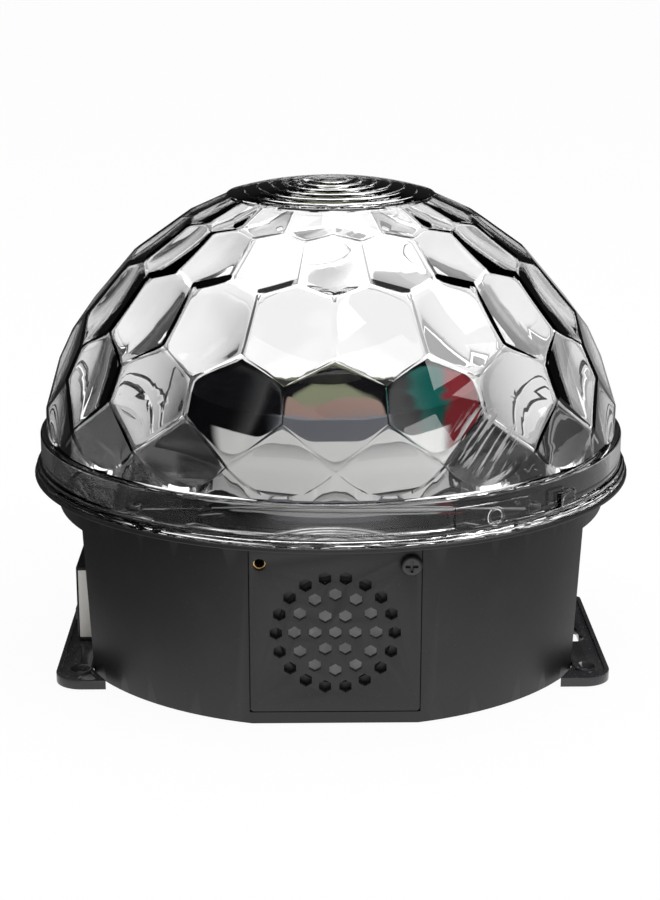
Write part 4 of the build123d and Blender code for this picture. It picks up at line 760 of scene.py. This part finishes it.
@dataclass
class LensDome:
    """Clear dome: columns of flat facets with a ball lens behind each, above a smooth skirt.

    Lengths are in millimetres and bearings are degrees from the front towards the right. A row of
    lenses has the latitude of its balls and how far they stand in from the cavity's sphere.
    """

    radius: float = 98.6
    inner_radius: float = 96.0
    centre: float = 59.1
    columns: int = 18
    latitudes: tuple[float, ...] = (14.3, 22.4, 28.9, 34.3, 47.2, 50.0, 59.5, 61.4, 69.6)
    rows: tuple[Pair, ...] = ((12.9, 2.7), (24.3, 2.7), (39.6, 2.7), (54.6, 2.0), (65.4, 1.2))
    ball: float = 91.0
    arc_low: float = 74.9
    skirt_top: float = 74.1
    skirt_radius: float = 97.7
    skirt_inner: float = 94.3
    shoulder_step: float = 0.8
    flange_radius: float = 99.4
    foot: float = 61.1
    pad_proud: float = 1.0
    lug_proud: float = 1.6
    patch_foot: float = 3.8
    pad_top: float = 10.0
    pad_bearings: Pair = (21.0, 37.0)
    lug_top: float = 8.0
    lug_bearings: Pair = (44.0, 224.0)
    lug_spread: float = 5.0
    ring_bearing: float = 29.0
    ring_height: float = 6.0
    ring_sink: float = 0.08
    ring_steps: int = 40
    ring_section: tuple[Pair, ...] = (
        (2.0, 0.0), (2.0, 0.45), (2.15, 0.6), (2.85, 0.6), (3.0, 0.45), (3.0, 0.0),
    )
    sharp_degrees: float = 10.0
    notch_bearing: float = 34.5
    notch_half: float = 1.6
    notch_depth: float = 0.9
    burr_turns: Pair = (23.0, 41.0)
    burr_wave: float = 0.1
    burr_noise: float = 0.12
    flange_edge: float = 0.5
    flange_top: float = 2.2
    wall_margin: float = 0.35
    cap_rise: float = 5.6
    cap_steps: int = 14
    cap_rings: int = 7
    cap_tread: float = 4.4
    cap_riser: float = 0.95
    cap_climb: float = 0.62
    valley: float = 0.15
    rings: int = 11
    edge_steps: int = 9
    points: list[Vector] = field(default_factory=list)
    faces: list[tuple[int, ...]] = field(default_factory=list)

    @property
    def half(self) -> float:
        """Half the bearing of a column."""
        return 180.0 / self.columns

    @property
    def origin(self) -> Vector:
        """Centre of the dome's spheres."""
        return Vector((0.0, 0.0, self.centre))

    def on_sphere(self, bearing: float, latitude: float, radius: float) -> Vector:
        """Point of a sphere at a bearing and a latitude."""
        rise = math.radians(latitude)
        return self.on_wall(bearing, self.centre + radius * math.sin(rise), radius * math.cos(rise))

    def on_wall(self, bearing: float, height: float, radius: float) -> Vector:
        """Point of an upright wall at a bearing and a height."""
        angle = math.radians(bearing)
        return Vector((radius * math.sin(angle), -radius * math.cos(angle), height))

    def wall_radius(self, radius: float) -> float:
        """Radius of the upright wall under a sphere's lowest corners."""
        return radius * math.cos(math.radians(self.latitudes[0]))

    def lens_arc(self, radius: float) -> list[Vector]:
        """Round lower edge of the lowest facet, from its left corner to its right one.

        Args:
            radius: Radius of the sphere that the corners lie on.

        Returns:
            Points of the arc, on the upright wall.
        """
        wall = self.wall_radius(radius)
        corner = self.on_sphere(0.0, self.latitudes[0], radius).z
        steps = 2 * self.edge_steps
        made = []
        for step in range(steps + 1):
            across = 2 * step / steps - 1
            height = self.arc_low + (corner - self.arc_low) * across ** 2
            made.append(self.on_wall(self.half * (1 + across), height, wall))
        return made

    def divided(self, corners: list[Vector], finer: int | None = None) -> list[Vector]:
        """Closed outline through the corners, each side divided.

        Args:
            corners: Corners in order.
            finer: Number of a side that gets twice as many points.

        Returns:
            Points round the outline.
        """
        made = []
        for index, corner in enumerate(corners):
            steps = self.edge_steps * (2 if index == finer else 1)
            after = corners[(index + 1) % len(corners)]
            made += [corner.lerp(after, step / steps) for step in range(steps)]
        return made

    def outlines(self, radius: float) -> list[list[Vector]]:
        """Outlines of the facets of the column from bearing 0 to its right neighbour.

        Args:
            radius: Radius of the sphere that the corners lie on.

        Returns:
            Outlines from the lowest facet up.
        """
        a1, b1, b2, c1, c2, d1, d2, e1, f1 = self.latitudes

        def at(steps: int, latitude: float) -> Vector:
            """Corner some half columns away from bearing 0."""
            return self.on_sphere(steps * self.half, latitude, radius)

        arc = self.lens_arc(radius)
        sides = [at(0, a1), at(1, b1), at(2, a1)]
        row_a = self.divided(sides)[:2 * self.edge_steps] + arc[:0:-1]
        row_b = self.divided([at(0, c1), at(1, b2), at(1, b1), at(0, a1), at(-1, b1), at(-1, b2)])
        row_c = self.divided([at(1, d1), at(2, c2), at(2, c1), at(1, b2), at(0, c1), at(0, c2)])
        row_d = self.divided([at(0, e1), at(1, d2), at(1, d1), at(0, c2), at(-1, d1), at(-1, d2)])
        row_e = self.divided([at(0, e1), at(0, f1), at(2, f1), at(2, e1), at(1, d2)], finer=1)
        return [row_a, row_b, row_c, row_d, row_e]

    def add_flat(self, outline: list[Vector]) -> None:
        """Adds a flat facet as triangles round its middle."""
        start, count = len(self.points), len(outline)
        self.points += outline + [sum(outline, Vector((0, 0, 0))) / count]
        for index in range(count):
            self.faces.append((start + index, start + (index + 1) % count, start + count))

    def plain_reach(self, way: Vector) -> float:
        """Distance of the plain cavity from the centre, along a direction."""
        flat = max(math.hypot(way.x, way.y), LEAST_LENGTH)
        return min(self.inner_radius, self.wall_radius(self.inner_radius) / flat)

    def ball_reach(self, way: Vector, middle: Vector, depth: float) -> float:
        """Distance of a ball lens from the centre, along a direction.

        Args:
            way: Unit direction.
            middle: Unit direction of the lens's middle.
            depth: How far the ball stands in from the cavity's sphere.

        Returns:
            The distance, or a large one where the direction misses the ball.
        """
        length = self.inner_radius - depth + self.ball
        along = length * way.dot(middle)
        under = self.ball ** 2 - length ** 2 + along ** 2
        return along - math.sqrt(under) if under > 0 and along > 0 else 10 * self.inner_radius

    def neighbours(self) -> Balls:
        """Middles and depths of all ball lenses near the column."""
        made = []
        for number, (latitude, depth) in enumerate(self.rows):
            for column in range(-2, 3):
                bearing = (2 * column + 1 - number % 2) * self.half
                made.append((self.on_sphere(bearing, latitude, 1.0) - self.origin, depth))
        return made

    def reach(self, way: Vector, balls: Balls) -> float:
        """Distance of the inner surface along a direction: cavity less balls, with rounded valleys.

        Args:
            way: Unit direction.
            balls: All balls near it.

        Returns:
            The distance.
        """
        lengths = [self.plain_reach(way)] + [self.ball_reach(way, *ball) for ball in balls]
        low = min(lengths)
        total = sum(math.exp((low - length) / self.valley) for length in lengths)
        return low - self.valley * math.log(total)

    def seated(self, point: Vector, balls: Balls) -> Vector:
        """Point of the inner surface in the direction of a point."""
        way = (point - self.origin).normalized()
        return self.origin + way * self.reach(way, balls)

    def add_lens(self, outline: list[Vector], middle: Vector, balls: Balls) -> None:
        """Adds the inner face of one facet: a ball lens and the plain corners round it.

        Args:
            outline: Points round the facet on the plain cavity.
            middle: Unit direction of the lens's middle.
            balls: All balls near it.
        """
        start, count = len(self.points), len(outline)
        shares = [math.sin(math.pi / 2 * ring / self.rings) for ring in range(1, self.rings + 1)]
        spokes = []
        for point in outline:
            way = (point - self.origin).normalized()
            side = (way - middle * way.dot(middle)).normalized()
            limit = middle.angle(way)
            angles = [limit * share for share in shares]
            spokes.append([middle * math.cos(angle) + side * math.sin(angle) for angle in angles])
        for level in range(self.rings):
            for spoke in spokes:
                self.points.append(self.origin + spoke[level] * self.reach(spoke[level], balls))
        self.points.append(self.origin + middle * self.reach(middle, balls))
        last = len(self.points) - 1
        for index in range(count):
            after = (index + 1) % count
            self.faces.append((start + index, start + after, last))
            for level in range(self.rings - 1):
                low, high = start + level * count, start + (level + 1) * count
                self.faces.append((low + index, high + index, high + after, low + after))

    def add_strips(self, rows: list[list[Vector]]) -> None:
        """Adds quads between each row of points and the next.

        Args:
            rows: Rows of as many points each.
        """
        for lower, upper in zip(rows, rows[1:]):
            start, count = len(self.points), len(lower)
            self.points += lower + upper
            for here in range(start, start + count - 1):
                self.faces.append((here, here + 1, here + count + 1, here + count))

    def skirt_profile(self) -> list[Pair]:
        """Section of the skirt: from the outer ledge down round the flange and up the bore.

        Returns:
            Radius and height pairs.
        """
        wall, inner_wall = self.wall_radius(self.radius), self.wall_radius(self.inner_radius)
        ledge, shoulder = self.skirt_radius, self.skirt_radius + self.shoulder_step
        flange, bore, foot, top = self.flange_radius, self.skirt_inner, self.foot, self.skirt_top
        return [
            (wall, top), (ledge - 0.5, top), (ledge - 0.13, top - 0.12), (ledge, top - 0.5),
            (ledge, foot + 10.0), (ledge, foot + 8.0), (ledge, foot + 4.0), (ledge + 0.12, foot + 3.7),
            (shoulder - 0.3, foot + 3.6), (shoulder - 0.07, foot + 3.5), (shoulder, foot + 3.2),
            (shoulder, foot + 2.3), (shoulder + 0.12, foot + 2.04), (flange - 0.35, foot + 2.0),
            (flange - 0.1, foot + 1.88), (flange, foot + 1.6), (flange, foot + 0.4),
            (flange - 0.1, foot + 0.1), (flange - 0.35, foot), (bore + 0.25, foot), (bore, foot + 0.25),
            (bore, top - 1.6), (bore - 0.1, top - 1.1), (inner_wall + 0.3, top - 0.3), (inner_wall, top),
        ]

    def cap_profiles(self) -> list[tuple[float, list[Pair]]]:
        """Sections of the round cap: smooth outside and stepped inside.

        Returns:
            For each surface the radius of its sphere, and its radius and height pairs inwards.
        """
        made = []
        rim = self.on_sphere(0, self.latitudes[-1], self.radius)
        reach = math.hypot(rim.x, rim.y)
        outer = [(reach - 0.1, rim.z + 0.45), (reach - 0.5, rim.z + 0.7)]
        for step in range(1, self.cap_steps + 1):
            share = 1 - step / self.cap_steps
            outer.append(((reach - 0.5) * share, rim.z + 0.7 + (self.cap_rise - 0.7) * (1 - share ** 2)))
        made.append((self.radius, outer))
        low = self.on_sphere(0, self.latitudes[-1], self.inner_radius)
        reach, tread = math.hypot(low.x, low.y), self.cap_tread
        inner = [(reach - 0.8, low.z)]
        for step in range(self.cap_rings):
            edge, height = reach - 1.0 - step * tread, low.z + step * self.cap_climb
            high = height + self.cap_riser
            inner += [(edge, height), (edge - 0.35, high), (edge - 1.6, high + 0.1),
                      (edge - tread + 0.8, height + self.cap_climb)]
        made.append((self.inner_radius, inner + [(0.0, inner[-1][1])]))
        return made

    def walls(self, bearings: list[float], profile: list[Pair]) -> list[list[Vector]]:
        """Rows of points round the axis, one for each radius and height of a section."""
        return [[self.on_wall(bearing, height, reach) for bearing in bearings] for reach, height in profile]

    def build_column(self) -> Piece:
        """Builds one column: flat facets, ball lenses, walls, skirt and cap sector.

        Returns:
            The column's object, open at both sides.
        """
        balls = self.neighbours()
        for outline in self.outlines(self.radius):
            self.add_flat(outline)
        for number, outline in enumerate(self.outlines(self.inner_radius)):
            bearing, latitude = self.half * (1 - number % 2), self.rows[number][0]
            self.add_lens(outline, self.on_sphere(bearing, latitude, 1.0) - self.origin, balls)
        bearings = [self.half * step / self.edge_steps for step in range(2 * self.edge_steps + 1)]
        rows = [self.lens_arc(self.radius)] + self.walls(bearings, self.skirt_profile())
        rows.append([self.seated(point, balls) for point in self.lens_arc(self.inner_radius)])
        self.add_strips(rows)
        for radius, profile in self.cap_profiles():
            start = self.on_sphere(0, self.latitudes[-1], radius)
            end = self.on_sphere(2 * self.half, self.latitudes[-1], radius)
            count = len(bearings) - 1
            edge = [start.lerp(end, step / count) for step in range(count + 1)]
            if radius == self.inner_radius:
                edge = [self.seated(point, balls) for point in edge]
            self.add_strips([edge] + self.walls(bearings, profile))
        return mesh_object("dome_column", [point * MM for point in self.points], self.faces)

    def raise_patch(self, dome: Piece, bearings: Pair, heights: Pair, proud: float) -> None:
        """Raises a rectangle of the skirt's outer wall, as a gate pad or a lug.

        Args:
            dome: Dome to change.
            bearings: First and last bearing of the rectangle.
            heights: Lowest and highest height.
            proud: How far it stands out.
        """
        def chosen(face: bmesh.types.BMFace) -> bool:
            """Whether a face lies on the outer wall and within the rectangle."""
            middle = face.calc_center_median() / MM
            outside = math.hypot(middle.x, middle.y) > self.skirt_radius - self.wall_margin
            within = bearings[0] < bearing_of(middle) < bearings[1]
            return outside and within and heights[0] < middle.z < heights[1]

        with opened(dome.data, into=dome.data) as work:
            faces = [face for face in work.faces if chosen(face)]
            made = bmesh.ops.extrude_face_region(work, geom=faces)
            bmesh.ops.delete(work, geom=faces, context="FACES")
            for part in made["geom"]:
                if isinstance(part, bmesh.types.BMVert):
                    part.co += outwards(part.co) * proud * MM

    def add_ring(self, dome: Piece) -> None:
        """Joins the small raised ring of the gate pad to the dome."""
        seat = self.skirt_radius + self.pad_proud - self.ring_sink
        turn = Matrix.Rotation(math.radians(self.ring_bearing), 4, "Z")
        place = turn @ Matrix.Translation((0, -seat, self.foot + self.ring_height))
        steps, count = self.ring_steps, len(self.ring_section)
        points, faces = [], []
        for step in range(steps):
            angle = 2 * math.pi * step / steps
            for reach, proud in self.ring_section:
                corner = Vector((reach * math.cos(angle), -proud, reach * math.sin(angle)))
                points.append(place @ corner * MM)
            here, after = step * count, (step + 1) % steps * count
            for index in range(count):
                other = (index + 1) % count
                faces.append((here + index, after + index, after + other, here + other))
        ring = mesh_object("pad_ring", points, faces)
        merge_and_orient(ring)
        with opened(dome.data, ring.data, into=dome.data):
            bpy.data.objects.remove(ring)

    def roughen_flange(self, dome: Piece) -> None:
        """Gives the flange's edge the burrs of its break line and one notch.

        Args:
            dome: Dome to change.
        """
        rng = np.random.default_rng(SEED)
        for vertex in dome.data.vertices:
            place = vertex.co / MM
            reach = math.hypot(place.x, place.y)
            if reach < self.flange_radius - self.flange_edge or place.z > self.foot + self.flange_top:
                continue
            bearing = bearing_of(place)
            angle, (slow, fast) = math.radians(bearing), self.burr_turns
            wave = math.sin(angle * slow) * math.sin(angle * fast + 1.0)
            sink = self.burr_wave * abs(wave) + self.burr_noise * float(rng.random())
            if abs(bearing - self.notch_bearing) < self.notch_half:
                sink += self.notch_depth
            vertex.co -= outwards(vertex.co) * sink * MM

    def build(self, shelf: FinishShelf, ring_tree: RingTree) -> None:
        """Builds the whole dome and hands it over.

        Args:
            shelf: Materials by slot.
            ring_tree: Tree that repeats the column.
        """
        column = self.build_column()
        dome = ring_tree.repeat(column, "lens_dome", shelf.made["crystal"], self.columns, COLUMN_MERGE)
        merge_and_orient(dome, COLUMN_MERGE)
        low = self.foot + self.patch_foot
        self.raise_patch(dome, self.pad_bearings, (low, self.foot + self.pad_top), self.pad_proud)
        for bearing in self.lug_bearings:
            reach = (bearing, bearing + self.lug_spread)
            self.raise_patch(dome, reach, (low, self.foot + self.lug_top), self.lug_proud)
        self.roughen_flange(dome)
        self.add_ring(dome)
        shade(dome, self.sharp_degrees)
        hand_over(dome, Body.HOUSING, "crystal_dome", shelf)


# Eased copies of the solid parts


@dataclass(frozen=True)
class EasedParts:
    """CAD nodes of one body that are shown as copies, with the width of each one's rounded edges."""

    body: Body
    widths: dict[str, float]

    def build(self, shelf: FinishShelf) -> None:
        """Builds the copies and hands them over."""
        for node, width in self.widths.items():
            hand_over(eased_copy(node, width), self.body, node, shelf)


EASED = (
    EasedParts(Body.HOUSING, {
        "body_shell": 0.4, "front_panel": 0.2, "base_plate": 0.3, "left_mounting_foot": 0.35,
        "right_mounting_foot": 0.35, "foot_pads": 0.3, "deck_plate": 0.25, "lamp_drum": 0.3,
        "lens_retainer": 0.25, "lamp_lenses": 0.0, "shaft_tube": 0.15, "control_pod": 0.25,
        "pod_end_cover": 0.2, "usb_socket": 0.06, "card_socket": 0.06, "inlet_body": 0.3,
        "inlet_pins": 0.3, "rocker_frame": 0.3, "speaker_cone": 0.0, "speaker_dust_cap": 0.0,
        "speaker_surround": 0.0, "panel_screw": 0.12, "panel_inserts": 0.15, "deck_screws": 0.1,
    }),
    EasedParts(Body.ROTOR, {"wheel_hub": 0.3, "lens_wheel": 0.15, "wheel_screw": 0.12}),
    EasedParts(Body.POWER_SWITCH, {"power_rocker": 0.3}),
    EasedParts(Body.BACK_KEY, {"back_button": 0.12}),
    EasedParts(Body.MODE_KEY, {"mode_button": 0.12}),
    EasedParts(Body.FORWARD_KEY, {"forward_button": 0.12}),
)


# Studio


@dataclass
class Studio:
    """Camera, lights, pale floor and white surroundings of the product photograph."""

    distance: float = 645.0
    height: float = 241.1
    pitch: float = 0.268
    focal_pixels: float = 1960.8
    turn: float = 0.9
    shift: float = 0.8
    surround: float = 0.75
    through: float = 1.7
    floor_radius: float = 12.0
    floor_sides: int = 96
    floor_grey: float = 0.85
    floor_roughness: float = 0.9
    floor_seen: float = 0.95
    floor_left: Pair = (-0.16, -0.03)
    floor_left_level: float = 0.06
    floor_right: Pair = (0.05, 0.16)
    floor_right_level: float = 0.4
    front_turn: Pair = (2.0, 2.7)
    front_levels: Pair = (0.03, 0.4)
    front_top: Pair = (0.3, 0.5)
    front_top_level: float = 0.1
    ceiling_rise: Pair = (0.75, 0.95)
    ceiling_level: float = 0.9
    horizon_turn: Pair = (1.4, 2.6)
    horizon_levels: Pair = (0.03, 1.0)
    horizon_top: Pair = (0.0, 0.16)
    gap_turns: tuple[Pair, Pair] = ((-2.2, -2.0), (0.5, 0.7))
    gap_heights: tuple[Pair, Pair] = ((-0.05, 0.03), (0.65, 0.8))
    facing_turn: Pair = (1.9, 2.4)
    facing_rise: Pair = (0.05, 0.2)
    bounces: int = 20
    aim: Point = (0.0, 0.0, 0.07)
    lights: dict[str, tuple[Point, float, float]] = field(default_factory=lambda: {
        "key_right": ((0.83, -0.48, 1.0), 0.6, 6.0), "top_soft": ((0.1, 0.1, 1.3), 1.0, 6.0),
    })

    def build(self) -> None:
        """Builds everything that isn't the object."""
        self.add_camera()
        self.add_floor()
        self.add_world()
        for name, (place, size, power) in self.lights.items():
            self.add_light(name, place, size, power)
        scene = bpy.context.scene
        scene.view_settings.view_transform = "Standard"
        scene.cycles.max_bounces = scene.cycles.transmission_bounces = self.bounces

    def add_camera(self) -> None:
        """Places the camera where the photograph was taken from."""
        data = bpy.data.cameras.new("photo_camera")
        data.sensor_width = SENSOR_WIDTH
        data.lens = self.focal_pixels * SENSOR_WIDTH / PHOTO_HEIGHT
        data.shift_x = -self.shift / PHOTO_HEIGHT
        data.clip_start, data.clip_end = 0.01, 20.0
        camera = linked(bpy.data.objects.new("photo_camera", data))
        angle = math.radians(self.turn)
        place = (-self.distance * math.sin(angle), -self.distance * math.cos(angle), self.height)
        camera.location = tuple(part * MM for part in place)
        camera.rotation_euler = (math.pi / 2 - self.pitch, 0.0, -angle)
        bpy.context.scene.camera = camera

    def add_floor(self) -> None:
        """Pale floor that shows white to the camera and keeps the object's soft shadow."""
        steps, size = self.floor_sides, self.floor_radius
        turns = [2 * math.pi * step / steps for step in range(steps)]
        rim = [(size * math.cos(turn), size * math.sin(turn), 0.0) for turn in turns]
        floor = mesh_object("studio_floor", rim, [tuple(range(steps))])
        made = bpy.data.materials.new("white_floor")
        made.use_nodes = True
        tree = made.node_tree
        shader = tree.nodes["Principled BSDF"]
        feed(shader, {"Base Color": (*[self.floor_grey] * 3, 1), "Roughness": self.floor_roughness})
        path = add_node(tree, "ShaderNodeLightPath").outputs
        across = object_axes(tree)[0]
        left = ramp(across, *self.floor_left, self.floor_left_level, 1.0)
        sides = times(left, ramp(across, *self.floor_right, 1.0, self.floor_right_level))
        clear, gloss = path["Is Transmission Ray"], path["Is Glossy Ray"]
        camera = times(path["Is Camera Ray"], self.floor_seen)
        seen = larger(camera, larger(clear, gloss))
        other = times(less(1.0, gloss), ramp(clear, 0.0, 1.0, 1.0, self.through))
        strength = plus(times(gloss, sides), other)
        glow = add_node(tree, "ShaderNodeEmission", {"Color": WHITE, "Strength": strength})
        feeds = {0: seen, 1: shader.outputs[0], 2: glow.outputs[0]}
        mix = add_node(tree, "ShaderNodeMixShader", feeds)
        feed(tree.nodes["Material Output"], {"Surface": mix.outputs[0]})
        floor.data.materials.append(made)

    def add_world(self) -> None:
        """White tent for the camera and the clear dome, and a darker room for what gloss mirrors."""
        world = bpy.data.worlds.new("studio_world")
        world.use_nodes = True
        bpy.context.scene.world = world
        tree = world.node_tree
        path = add_node(tree, "ShaderNodeLightPath").outputs
        across, away, rise = object_axes(tree, "Generated")
        turn = math_node("ARCTAN2", across, away)
        aside = math_node("ABSOLUTE", turn)
        front = ramp(aside, *self.front_turn, *self.front_levels)
        front = times(front, ramp(rise, *self.front_top, 1.0, self.front_top_level))
        ceiling = ramp(rise, *self.ceiling_rise, 0.0, self.ceiling_level)
        horizon = ramp(rise, *self.horizon_top, 1.0, 0.0)
        horizon = times(horizon, ramp(aside, *self.horizon_turn, *self.horizon_levels))
        room = larger(larger(front, ceiling), horizon)
        behind = times(band(turn, *self.gap_turns), band(rise, *self.gap_heights))
        facing = times(ramp(aside, *self.facing_turn), ramp(rise, *self.facing_rise))
        glossy = math_node("GREATER_THAN", path["Glossy Depth"], 0.5)
        mirrored = times(glossy, math_node("LESS_THAN", path["Diffuse Depth"], 0.5))
        gap = times(larger(behind, facing), mirrored)
        tent = times(less(1.0, gap), self.through)
        clear = path["Is Transmission Ray"]
        studio = plus(times(room, less(1.0, clear)), times(tent, clear))
        seen = larger(path["Is Glossy Ray"], clear)
        soft = times(less(1.0, seen), self.surround)
        part = plus(times(seen, studio), soft)
        strength = larger(part, path["Is Camera Ray"])
        feed(tree.nodes["Background"], {"Color": WHITE, "Strength": strength})

    def add_light(self, name: str, place: Point, size: float, power: float) -> None:
        """Adds a soft area light that looks at the object.

        Args:
            name: Light's name.
            place: Position in metres.
            size: Side of the square in metres.
            power: Power in watts.
        """
        data = bpy.data.lights.new(name, "AREA")
        data.size, data.energy = size, power
        lamp = linked(bpy.data.objects.new(name, data))
        lamp.location = place
        lamp.rotation_euler = (Vector(self.aim) - Vector(place)).to_track_quat("-Z", "Y").to_euler()


def main() -> None:
    """Builds the light piece by piece and the studio round it."""
    logging.basicConfig(level=logging.INFO, format="%(name)s %(message)s")
    shelf = FinishShelf()
    shelf.dress_frame()
    ring_tree = RingTree()
    Studio().build()
    LensDome().build(shelf, ring_tree)
    for parts in EASED:
        parts.build(shelf)


if __name__ == "__main__":
    main()
